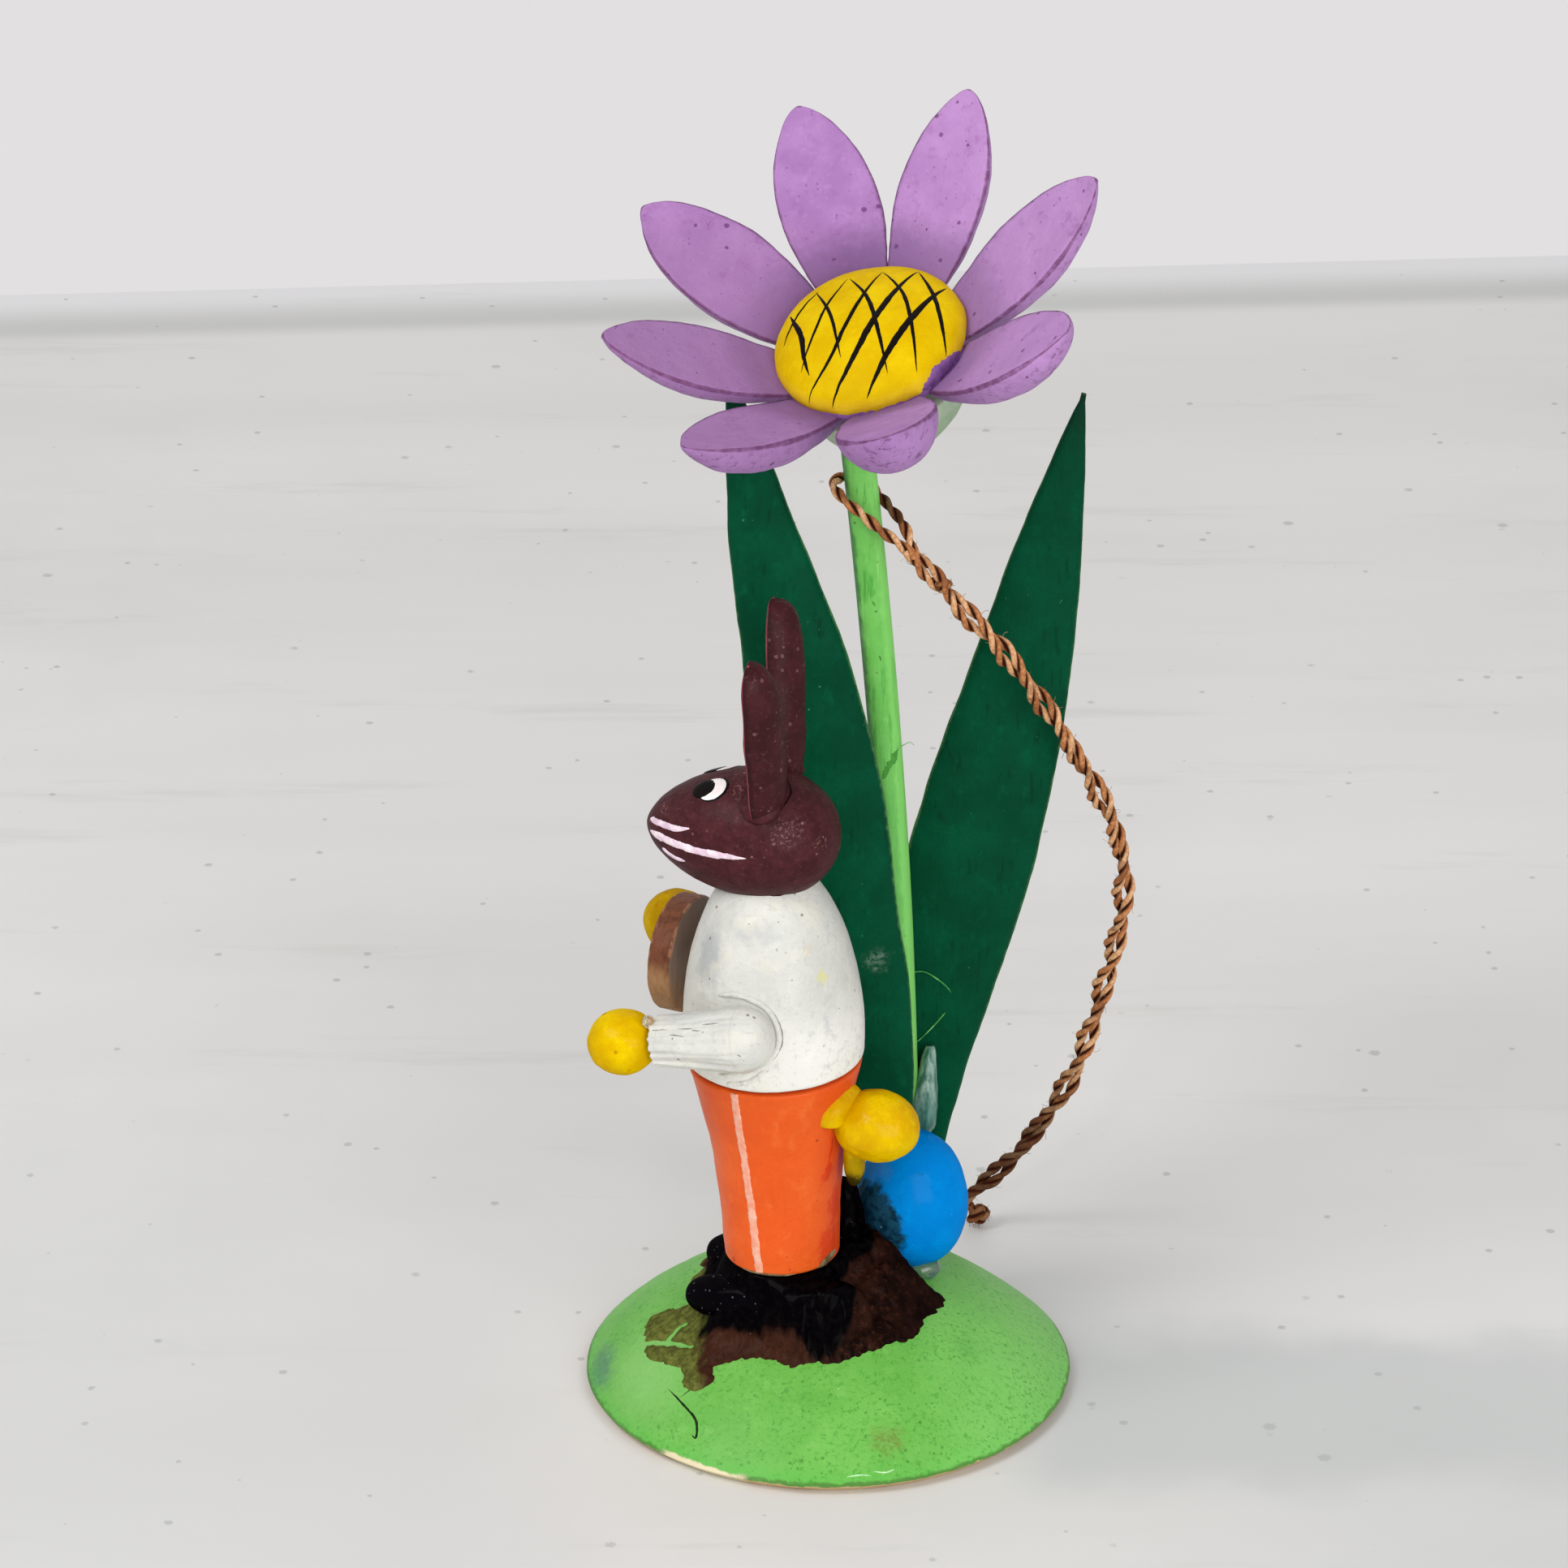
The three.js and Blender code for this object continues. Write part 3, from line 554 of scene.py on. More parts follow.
def geometryTree(name, inputs):
    tree = bpy.data.node_groups.new(name, "GeometryNodeTree")
    for label, kind in (("Geometry", "NodeSocketGeometry"), *inputs,
                        ("Material", "NodeSocketMaterial")):
        tree.interface.new_socket(label, in_out="INPUT", socket_type=kind)
    tree.interface.new_socket("Geometry", in_out="OUTPUT", socket_type="NodeSocketGeometry")
    w = Wires(tree)
    return w, w.node("NodeGroupInput").outputs


def closeTree(w, geometry, material):
    real = w.node("GeometryNodeRealizeInstances", {"Geometry": geometry}).outputs[0]
    w.node("NodeGroupOutput", {0: w.node("GeometryNodeSetMaterial", {
        "Geometry": real, "Material": material}).outputs[0]})
    return w.tree


# Cord: plies twisted into strands, strands twisted round each other along the route
def twistTree():
    w, given = geometryTree("twist", [("Strands", "NodeSocketInt")] + [
        (label, floatKind) for label in (
            "Strand Offset", "Strand Pitch", "Ply Offset", "Ply Pitch", "Ply Radius", "Wander",
            "Taper")])
    curve = w.node("GeometryNodeMeshToCurve", {0: given["Geometry"]}).outputs[0]
    curve = w.node("GeometryNodeResampleCurve", {"Curve": curve, "Length": 0.13 * unit},
                   mode="LENGTH").outputs[0]

    def stored(geometry, label, kind, value):
        return w.node("GeometryNodeStoreNamedAttribute", {
            "Geometry": geometry, "Name": label, "Value": value}, data_type=kind,
            domain="POINT").outputs[0]

    def recalled(label, kind):
        return w.node("GeometryNodeInputNamedAttribute", {"Name": label},
                      data_type=kind).outputs[0]

    def shifted(geometry, offset):
        return w.node("GeometryNodeSetPosition", {
            "Geometry": geometry, "Offset": offset}).outputs[0]

    tangent = w.node("GeometryNodeInputTangent").outputs[0]
    normal = w.node("GeometryNodeInputNormal").outputs[0]
    run = w.node("GeometryNodeSplineParameter").outputs["Length"]
    whole = w.node("GeometryNodeSplineLength").outputs["Length"]
    curve = stored(curve, "across", "FLOAT_VECTOR", normal)
    curve = stored(curve, "upward", "FLOAT_VECTOR", w.vector("CROSS_PRODUCT", tangent, normal))
    curve = stored(curve, "run", "FLOAT", run)
    curve = stored(curve, "rest", "FLOAT", w.minus(whole, run))
    copies = w.node("GeometryNodeDuplicateElements", {
        "Geometry": curve, "Amount": w.times(given["Strands"], 2)}, domain="SPLINE")
    which = copies.outputs[1]
    strand, ply = w.math("FLOOR", w.divide(which, 2)), w.math("MODULO", which, 2)
    length = recalled("run", "FLOAT")
    across, upward = recalled("across", "FLOAT_VECTOR"), recalled("upward", "FLOAT_VECTOR")

    def spun(radius, pitch, share):
        angle = w.times(w.plus(w.divide(length, pitch), share), 2 * pi)
        one = w.vector("SCALE", across, scale=w.math("COSINE", angle))
        two = w.vector("SCALE", upward, scale=w.math("SINE", angle))
        return w.vector("SCALE", w.vector("ADD", one, two), scale=radius)

    # The strands close up at both ends and gape a little more here than there
    nearEnd = w.math("MINIMUM", length, recalled("rest", "FLOAT"))
    gape = w.node("ShaderNodeTexNoise", {"W": w.divide(length, 0.005), "Scale": 1.0,
                                         "Detail": 0.0}, noise_dimensions="1D").outputs[0]
    opened = w.times(w.band(nearEnd, 0.0, given["Taper"], 0.3, 1.0),
                     w.band(gape, 0.3, 0.7, 0.72, 1.25))
    strands = spun(w.times(given["Strand Offset"], opened), given["Strand Pitch"],
                   w.divide(strand, given["Strands"]))
    plies = spun(given["Ply Offset"], given["Ply Pitch"],
                 w.plus(w.times(ply, 0.5), w.times(strand, 0.23)))
    here = w.node("GeometryNodeInputPosition").outputs[0]
    apart = w.node("ShaderNodeCombineXYZ", {0: w.times(which, 0.01)}).outputs[0]
    drift = w.drift(w.vector("ADD", here, apart), 420.0, 1.0)
    wander = w.vector("SCALE", w.vector("SUBTRACT", drift, (0.5, 0.5, 0.5)),
                      scale=given["Wander"])
    moved = shifted(copies.outputs[0], w.vector("ADD", strands, wander))
    moved = stored(moved, "heart", "FLOAT_VECTOR", here)
    moved = shifted(stored(moved, "ply", "FLOAT", ply), plies)
    circle = w.node("GeometryNodeCurvePrimitiveCircle", {
        "Resolution": 8, "Radius": given["Ply Radius"]}).outputs[0]
    tubes = w.node("GeometryNodeCurveToMesh", {"Curve": moved, "Profile Curve": circle,
                                               "Fill Caps": True}).outputs[0]
    depth = w.divide(w.vector("DISTANCE", here, recalled("heart", "FLOAT_VECTOR")),
                     w.plus(given["Ply Offset"], given["Ply Radius"]))
    return closeTree(w, stored(tubes, "groove", "FLOAT", depth), given["Material"])


# Loose fibres scattered over a skin
def scatterTree():
    w, given = geometryTree("scatter", [
        ("Density", floatKind), ("Length", floatKind), ("Thickness", floatKind),
        ("Bend", floatKind), ("Seed", "NodeSocketInt")])
    spots = w.node("GeometryNodeDistributePointsOnFaces", {
        "Mesh": given["Geometry"], "Density": given["Density"], "Seed": given["Seed"]})
    half = w.times(given["Length"], 0.5)
    middle = w.node("ShaderNodeCombineXYZ", {0: w.times(half, given["Bend"]), 2: half})
    end = w.node("ShaderNodeCombineXYZ", {
        0: w.times(given["Length"], given["Bend"]), 1: w.times(half, 0.5),
        2: w.times(half, 0.9)})
    bow = w.node("GeometryNodeCurveQuadraticBezier", {
        "Resolution": 7, "Start": (0, 0, 0), "Middle": middle.outputs[0],
        "End": end.outputs[0]})
    circle = w.node("GeometryNodeCurvePrimitiveCircle", {
        "Resolution": 5, "Radius": given["Thickness"]}).outputs[0]
    hair = w.node("GeometryNodeCurveToMesh", {"Curve": bow.outputs[0],
                                              "Profile Curve": circle}).outputs[0]
    spin = w.node("FunctionNodeRandomValue", {
        "Seed": 5, 0: (-1.3, -1.3, -3.1), 1: (1.3, 1.3, 3.1)}, data_type="FLOAT_VECTOR")
    leant = w.node("FunctionNodeRotateEuler", {0: spots.outputs["Rotation"],
                                               1: spin.outputs[0]}).outputs[0]
    size = w.node("FunctionNodeRandomValue", {"Seed": 9, 2: 0.35, 3: 1.2}, data_type="FLOAT")
    placed = w.node("GeometryNodeInstanceOnPoints", {
        "Points": spots.outputs[0], "Instance": hair, "Rotation": leant,
        "Scale": size.outputs[1]}).outputs[0]
    return closeTree(w, placed, given["Material"])


def grow(name, source, tree, values, nodes=()):
    modifier = source.modifiers.new(tree.name, "NODES")
    modifier.node_group = None
    sockets = {item.name: item.identifier for item in tree.interface.items_tree
               if item.in_out == "INPUT"}
    modifier.node_group = tree
    for label, value in values.items():
        modifier[sockets[label]] = value
    bpy.context.view_layer.update()
    mesh = bpy.data.meshes.new_from_object(
        source.evaluated_get(bpy.context.evaluated_depsgraph_get()))
    source.modifiers.remove(modifier)
    mesh.name = name
    mesh.shade_smooth()
    piece = bpy.data.objects.new(name, mesh)
    scene.collection.objects.link(piece)
    register(piece, nodes)
    return piece


def routeObject(points):
    mesh = bpy.data.meshes.new("route")
    mesh.from_pydata((np.asarray(points) * unit).tolist(),
                     [(i, i + 1) for i in range(len(points) - 1)], [])
    route = bpy.data.objects.new("route", mesh)
    scene.collection.objects.link(route)
    return route


def stringFinish():
    make = Finish("string", 0.85, relief=0.12, specular=0.1)
    w = make.wires
    fibre = make.noise(4.5, 5.0, 0.7)
    light = w.between(fibre, 0.3, 0.7, (206, 134, 80), (250, 204, 158))
    brown = w.between(fibre, 0.3, 0.75, (168, 98, 54), (226, 160, 108))
    make.colour = w.mix(w.attribute("ply"), light, brown)
    make.over(make.cloud(0.5, 0.64, 0.5, 2.0), (104, 54, 28), 0.55)
    # Painted shade: the cord darkens towards its low end behind the base, and at the knot
    make.over(w.band(make.z, 15.0, 5.0), (58, 32, 20), 0.85, w.band(make.z, 1.2, 2.6))
    make.over(w.band(make.z, 2.1, 1.5), (92, 50, 24), 0.75)
    # Painted shadow on the loop's far strand, under the flower
    make.mark((3.9, 7.9, 54.9), (1.6, 1.9, 1.3), (52, 30, 18), 0.8, 0.3)
    # Painted shade in the grooves between the plies
    make.over(w.band(w.attribute("groove"), 0.93, 0.5), (62, 20, 6))
    return make.finish(fibre)


string = stringFinish()
twist = twistTree()
scatter = scatterTree()
cordFacts = {
    "diameter": 1.4, "strandOffset": 0.345, "strandPitch": 8.2, "plyOffset": 0.16,
    "plyPitch": 2.6, "plyRadius": 0.195, "wander": 0.12, "taper": 3.4, "strand": 0.325,
    "gap": 0.3, "loopHeight": 55.6,
    "route": [
        (4.5, 5.9, 53.1), (5.2, 5.9, 52.4), (6.5, 5.9, 50.9), (7.7, 6.0, 49.4),
        (9.1, 6.2, 47.7), (10.4, 6.5, 46.2), (12.0, 7.2, 43.6), (13.7, 8.0, 40.8),
        (15.2, 8.8, 37.8), (16.5, 9.8, 35.1), (17.6, 11.0, 32.0), (18.2, 12.0, 29.2),
        (18.3, 13.0, 26.2), (18.05, 13.9, 23.3), (17.5, 14.8, 20.3), (17.0, 15.5, 17.5),
        (16.3, 16.2, 14.6), (15.7, 16.7, 12.4), (14.85, 17.2, 10.4), (13.9, 17.6, 8.5),
        (12.8, 18.0, 6.6), (11.7, 18.3, 5.0), (10.6, 18.5, 3.7), (9.8, 18.65, 2.9),
        (9.2, 18.75, 2.3), (8.95, 18.8, 1.7), (9.15, 18.75, 1.25)],
}
stemFacts = {"x": 4.8, "y": 8.1, "radius": 1.0, "socket": 3.4, "top": 61.6, "bow": 3.5}
stemFoot = domeTop(stemFacts["x"], stemFacts["y"]) - stemFacts["socket"]


def stemPoint(z):
    rise = (z - stemFoot) / (stemFacts["top"] - stemFoot)
    return np.array([stemFacts["x"] - stemFacts["bow"] * rise * rise, stemFacts["y"], z])


def grownLine(name, line, count, values, nodes=()):
    route = routeObject(smoothLine(line, count))
    made = grow(name, route, twist, values, nodes)
    bpy.data.objects.remove(route)
    return made


def makeCord(facts):
    values = {
        "Strands": 2, "Strand Offset": facts["strandOffset"] * unit,
        "Strand Pitch": facts["strandPitch"] * unit, "Ply Offset": facts["plyOffset"] * unit,
        "Ply Pitch": facts["plyPitch"] * unit, "Ply Radius": facts["plyRadius"] * unit,
        "Wander": facts["wander"] * unit, "Taper": facts["taper"] * unit, "Material": string}
    cord = grownLine("cordRope", facts["route"], 240, values, ["cord"])

    single = {**values, "Strands": 1, "Strand Offset": 0.0}
    reach = stemFacts["radius"] + facts["gap"] + facts["strand"]
    x, y, z = stemPoint(facts["loopHeight"])
    loopLine = [(5.0, 5.8, 52.6), (4.5, 5.8, 53.15), (4.0, 5.8, 53.6), (2.9, 5.9, 54.4),
                (x, y - reach - 0.1, z - 0.5),
                (x - 0.75 * reach, y - 0.75 * reach, z + 0.4), (x - 1.05 * reach, y, z + 0.8),
                (x - 0.75 * reach, y + 0.75 * reach, z + 0.7), (x, y + reach + 0.1, z + 0.4),
                (3.1, 8.7, 55.25), (3.9, 7.5, 54.75), (4.45, 6.6, 54.25), (4.75, 6.2, 53.5),
                (5.1, 6.0, 52.5)]
    loop = grownLine("cordLoop", loopLine, 90, single, ["cord_loop"])

    def tied(name, place, size, nodes=()):
        turns = np.linspace(0, 2 * pi, 26)
        out = size * (0.30 + 0.13 * np.cos(3 * turns))
        line = np.stack([out * np.cos(2 * turns), out * np.sin(2 * turns),
                         0.26 * size * np.sin(3 * turns)], 1) + np.array(place)
        return grownLine(name, line, 90, {**single, "Wander": 0.05 * unit}, nodes)

    knot = tied("cordKnot", (9.72, 18.6, 0.95), 1.18, ["cord_knot"])
    lump = tied("cordLump", (6.8, 5.85, 50.75), 0.6)
    fuzzes = [grow(name, source, scatter, {
        "Density": density, "Length": length * unit, "Thickness": 0.011 * unit,
        "Bend": 0.5, "Seed": 3, "Material": string})
        for name, source, density, length in (("cordFuzz", cord, 1.3e6, 0.75),
                                              ("knotFuzz", knot, 9e6, 0.6),
                                              ("lumpFuzz", lump, 6e6, 0.5))]
    fine = smoothLine(facts["route"], 240)
    lineLength(fine) * unit
    print("cord", round(lineLength(fine), 2), "mm, fuzz faces",
          [len(fuzz.data.polygons) for fuzz in fuzzes])


makeCord(cordFacts)


# Base: turned dome, bare at the foot
def baseFinish():
    make = Finish("basePaint", 0.5, coatWeight=0.1, coatRough=0.25, relief=0.07, specular=0.15)
    make.paint((112, 182, 80), (97, 170, 67), (130, 191, 98), 0.25)
    w = make.wires
    ragged = make.noise(0.8, 4.0, 0.7)
    make.over(w.band(w.plus(make.z, w.times(ragged, 1.6)), 2.5, 1.5), (92, 178, 70), 0.75)
    # Painted light: the right side of the dome is paler
    make.over(w.band(make.x, 3.0, 12.0), (136, 206, 110), 0.5)
    level = w.ragged(make.z, ragged, 0.55)
    bare = w.band(level, 0.62, 0.50)
    # Painted shadow line along the edge of the paint, just above the bare foot
    make.over(w.minus(w.band(level, 0.86, 0.7), bare), (66, 96, 40), 0.7)
    make.dots(1.1, 0.17, 0.22, (70, 120, 48), 0.45)
    grit = make.noise(3.3, 5.0, 0.8)
    held = w.band(make.noise(0.22, 4.0, 0.65), 0.36, 0.6, 0.45, 1.0)
    make.over(w.band(grit, 0.52, 0.62), (56, 142, 42), 0.7, held)
    make.dots(2.4, 0.24, 0.4, (52, 118, 38), 0.55, held)
    coarse = w.band(grit, 0.36, 0.56)
    for stained in (((3.5, -12.5, 2.4), (1.7, 1.4, 1.3), (112, 128, 56), 0.8),
                    ((8.4, -5.0, 4.5), (1.6, 2.2, 1.4), (78, 148, 58), 0.4),
                    ((-2.2, -10.4, 4.0), (2.4, 1.2, 1.0), (88, 160, 66), 0.35)):
        make.mark(*stained, 0.9, coarse)
    make.dots(1.9, 0.1, 0.16, (196, 232, 160), 0.6)
    make.scuff((0.6, 4.5, 1.5), 0.6, (84, 150, 60), 0.2)
    make.mark((-11.0, -5.5, 3.0), (5.0, 6.5, 4.0), (152, 206, 124), 0.45, 0.9)
    make.mark((-14.2, -2.2, 1.8), (1.5, 3.6, 1.6), (72, 110, 104), 0.6)
    wood = make.use(grain, Stretch=(0.6, 0.6, 9.0))["Mask"]
    make.over(bare, w.mix(wood, tone(214, 186, 140), tone(170, 128, 84)))
    make.mark((-7.9, -12.7, 0.6), (3.4, 3.2, 4.0), (222, 210, 172), 1.0, 0.4,
              w.band(level, 0.86, 0.74))
    return make.finish()


def makeBase():
    bend = 0.16
    profile = [(0.4, 0), (4, 0), (8, 0), (12, 0), (14.1, 0)]
    profile += [(dome["footRadius"] - bend * (1 - sin(a)), bend * (1 - cos(a)))
                for a in np.linspace(0, pi / 2, 5)[1:]]
    profile += [(14.6, 0.27), (14.78, 0.4), (14.92, 0.52), (15.0, 0.63)]
    profile += [(r, float(domeTop(r, 0))) for r in np.linspace(14.97, 0.15, 84)]
    return makeTurned("baseDome", profile, 400, baseFinish(), "base", None,
                      [(0.07, 5.0, 3.0), (0.025, 1.1, 9.0)],
                      lambda places: np.clip((places[:, 2] - 0.1) / 0.6, 0, 1))


base = makeBase()
baseTree = surfaceOf(base)
print("base", len(base.data.polygons))


# Stem: a bowed dowel
def stemFinish():
    make = Finish("stemPaint", 0.5, coatWeight=0.05, coatRough=0.3, relief=0.06, specular=0.15)
    make.paint((123, 202, 98), (107, 187, 84), (139, 212, 112), 0.4)
    w = make.wires
    make.scuff((3.2, 3.2, 0.16), 0.52, (58, 148, 52), 0.6, 1.0)
    drawn = w.noise(w.stretch(make.mm, 2.6, 2.6, 0.12), 1.0, 3.0)
    make.over(w.band(drawn, 0.6, 0.72), (168, 232, 140), 0.55)
    make.dots(1.5, 0.13, 0.3, (52, 96, 40), 0.75)
    make.over(w.band(make.z, 48.0, 30.0), (104, 178, 94), 0.45)
    # Painted shade along the stem's left edge, and a painted highlight right of its middle
    rise = w.divide(w.minus(make.z, stemFoot), stemFacts["top"] - stemFoot)
    middle = w.minus(stemFacts["x"], w.times(w.times(rise, rise), stemFacts["bow"]))
    across = w.ragged(w.minus(make.x, middle), make.noise(1.3, 3.0), 0.5)
    make.over(w.band(across, -0.62, -0.95), (40, 104, 50), 0.8)
    make.over(w.band(across, 0.3, 0.6), (140, 218, 112), 0.5)
    return make.finish()


def makeStem():
    rings, radius = [], stemFacts["radius"]
    for z in np.linspace(stemFoot + 0.3, stemFacts["top"], 300):
        x, y, _ = stemPoint(z)
        rings.append([(x + radius * (1 + 0.022 * waveAt(2.2 * cos(a), 2.2 * sin(a), z * 0.09))
                       * cos(a), y + radius * sin(a), z) for a in angles(56)])
    return makePiece("stemDowel", ringSkin(rings), stemFinish(), ["stem"])


stem = makeStem()


# Trousers: orange, with runs and wet patches in the paint
def trouserFinish():
    make = Finish("trouserPaint", 0.45, coatWeight=0.1, coatRough=0.2, relief=0.07, specular=0.12)
    make.paint((240, 103, 36), (228, 88, 26), (244, 124, 58), 0.22)
    w = make.wires
    make.scuff((2.4, 2.4, 0.22), 0.56, (224, 76, 28), 0.4, 0.6)
    # Painted shade: the right side of the trousers is darker
    make.over(w.band(make.x, -1.4, 0.6), (206, 60, 22), 0.4)
    drips = w.noise(w.stretch(make.mm, 1.1, 1.1, 0.09), 1.0, 3.0)
    make.over(w.band(drips, 0.56, 0.66), (214, 62, 24), 0.4, w.band(make.z, 19.0, 12.0))
    wet = w.band(make.noise(2.4, 4.0, 0.7), 0.3, 0.55, 0.5, 1.0)
    for spot, reach, soft in (((3.75, -1.3, 9.35), (0.55, 0.5, 0.6), 0.3),
                              ((3.75, -0.2, 6.8), (0.8, 0.9, 1.7), 0.35),
                              ((3.35, -0.7, 4.4), (1.1, 1.3, 1.4), 0.4)):
        make.mark(spotOn(rabbit, spot), reach, (212, 54, 12), 0.75, soft, wet)
    make.dots(1.2, 0.12, 0.16, (150, 46, 24), 0.7)
    make.dots(1.5, 0.28, 0.5, (176, 54, 20), 0.7, w.band(make.z, 13.5, 11.0))
    make.over(make.cloud(0.56, 0.68, 3.0, 4.0, 0.75), (222, 78, 26), 0.4)
    return make.finish()


def makeTrousers():
    side = smoothLine([(3.5, 2.86), (3.76, 7.4), (4.35, 11.9), (5.3, 16.15)], 150, False)
    profile = [(0.3, 2.86), (1.6, 2.86), (2.8, 2.86), (3.3, 2.87), (3.44, 2.93)]
    profile += [(float(r), float(z)) for r, z in side[2:-2]]
    profile += [(5.26, 16.12), (5.1, 16.16), (4.2, 16.16), (1.5, 16.2), (1.5, 19.1), (0.3, 19.15)]
    return makeTurned("trousersTurned", profile, 200, trouserFinish(),
                      "trousers", rabbit, [(0.07, 3.2, 1.0), (0.02, 0.9, 5.0)],
                      lambda places: np.clip((places[:, 2] - 10.2) / 1.0, 0, 1)
                      * np.clip((23.0 - places[:, 2]) / 0.6, 0, 1))


trouserTree = surfaceOf(makeTrousers())


# Shirt: the torso and the sleeves
def shirtFinish():
    make = Finish("shirtPaint", 0.45, coatWeight=0.1, coatRough=0.22, relief=0.07, specular=0.15)
    make.paint((215, 214, 207), (201, 201, 195), (226, 224, 218), 0.3)
    w = make.wires
    # Painted light: the torso is paler low down, more so on its right, for light thrown back from
    # below
    pale = w.times(w.band(make.z, 30.0, 25.5), w.band(make.x, -5.5, -2.5))
    make.over(w.math("MAXIMUM", pale, w.band(make.z, 26.8, 24.6)), (242, 240, 233), 0.85)
    for stained in (((-4.5, -6.2, 33.4), (2.6, 1.8, 0.9), (170, 172, 174), 0.45),
                    ((-7.3, -5.0, 31.2), (1.3, 1.8, 3.0), (150, 154, 158), 0.6),
                    ((-0.4, -6.1, 30.5), (0.5, 0.9, 0.7), (220, 214, 84), 0.6),
                    ((-1.1, -6.2, 32.4), (0.8, 0.8, 0.5), (214, 190, 160), 0.4),
                    ((-0.2, -6.6, 27.6), (0.35, 0.6, 1.2), (176, 178, 186), 0.4)):
        make.mark(*stained)
    make.scuff((1.1, 3.4, 2.4), 0.58, (176, 180, 176), 0.45, 0.5)
    make.over(make.cloud(0.53, 0.68, 1.7, 5.0, 0.72), (182, 186, 182), 0.45)
    make.over(make.cloud(0.52, 0.68, 0.45, 3.0, 0.6), (228, 222, 202), 0.3)
    make.dots(2.2, 0.22, 0.4, (128, 104, 98), 0.75, make.cloud(0.5, 0.6, 0.6, 2.0))
    return make.finish()


shirt = shirtFinish()


def makeTorso():
    facts = {"radius": 5.48, "middle": 18.4, "rise": 11.8, "foot": 16.45, "point": 1.22}
    radius, middle, rise, foot, point = facts.values()
    start = asin((foot - middle) / rise)
    first = radius * cos(start)
    profile = [(0.3, foot + 0.01), (2.5, foot + 0.005), (first - 0.35, foot),
               (first - 0.1, foot + 0.03)]
    profile += [(radius * cos(a) ** point, middle + rise * sin(a))
                for a in np.linspace(start + 0.012, pi / 2 - 0.02, 120)]
    return makeTurned("torsoTurned", profile, 200, shirt, "torso", rabbit,
                      [(0.05, 3.0, 12.0), (0.018, 0.8, 2.0)])


torsoTree = surfaceOf(makeTorso())


def armFrame(side, forward, out, droop, swing):
    return rabbit @ move(forward, side * out, 20.6) @ turn("Y", -droop) @ turn("Z", -side * swing)


leftArm = armFrame(-1, 1.0, 6.5, 8.3, 7)
rightArm = armFrame(1, -1.4, 5.6, 0, 6)


def makeSleeve(name, node, arm, length):
    radius, cuff = 2.02, 1.52
    profile = [(radius * sin(a), -radius * cos(a)) for a in np.linspace(0.03, pi / 2, 26)]
    profile += [(radius + (cuff - radius) * t, length * t - 0.08)
                for t in np.linspace(0, 1, 60)[1:]]
    profile += [(cuff - 0.05, length - 0.01), (cuff - 0.2, length), (0.3, length)]
    place = arm @ turn("Y", -90)
    sleeve = makePiece(name, ringSkin(turned(profile, 110)), shirt, [node], place)

    # Long grooves in the paint, none on the shoulder
    def grooveAt(x, y, z):
        around = atan2(y, x)
        groove = 0.15 * waveAt(cos(around) * 3.1, sin(around) * 3.1, z * 0.16)
        groove += 0.09 * waveAt(cos(around) * 9.0, sin(around) * 9.0, z * 0.3)
        return groove * min(1, max(0, (z + 1.0) / 1.5))

    pushOut(sleeve, lambda places: [grooveAt(*spot) for spot in carried(
        place.inverted(), places)])
    return sleeve


sleeveTree = surfaceOf(makeSleeve("sleeveLeft", "sleeve_left", leftArm, 5.4))
makeSleeve("sleeveRight", "sleeve_right", rightArm, 5.8)
print("body turned")


# Head and ears
def furFinish():
    make = Finish("furPaint", 0.5, coatWeight=0.05, coatRough=0.2, relief=0.09, specular=0.06)
    make.paint((78, 36, 41), (60, 25, 29), (94, 50, 53), 1.3)
    grit = make.noise(3.4, 5.0, 0.75)
    make.over(make.wires.band(grit, 0.56, 0.7), (112, 70, 70), 0.5)
    make.over(make.wires.band(grit, 0.44, 0.32), (44, 18, 22), 0.6)
    make.dots(2.3, 0.2, 0.3, (150, 112, 108), 0.6, make.cloud(0.46, 0.6, 0.5, 2.0))
    # Pale fleck patches on the head; the patch by the nose is a painted highlight
    flecksAndHighlight = make.cloud(0.52, 0.64, 5.5, 4.0, 0.7)
    for spot, reach in (((-5.94, -1.37, 1.53), 0.7), ((-1.1, -1.6, 3.5), 1.1),
                        ((2.2, -2.9, 1.6), 1.5), ((3.9, -1.9, 0.6), 0.9)):
        make.mark(spotOn(head, spot), (reach,) * 3, (156, 114, 110), 0.6, 0.9, flecksAndHighlight)
    make.dots(3.3, 0.18, 0.45, (46, 18, 22), 0.5)
    return make.finish()


furPaint = furFinish()


def makeHead():
    facts = {"radius": 3.95, "snout": 7.4, "back": 4.5, "bluntness": 0.62}
    radius, snout, back, bluntness = facts.values()
    profile = [(radius * (1 - cos(a) ** 2) ** bluntness, -snout * cos(a))
               for a in np.linspace(0.02, pi / 2, 70)]
    profile += [(radius * cos(a), back * sin(a)) for a in np.linspace(0, pi / 2 - 0.03, 46)[1:]]
    return makeTurned("headEgg", profile, 190, furPaint, "head",
                      head @ turn("Y", 90), [(0.06, 2.6, 21.0), (0.015, 0.6, 4.0)])


headTree = surfaceOf(makeHead())


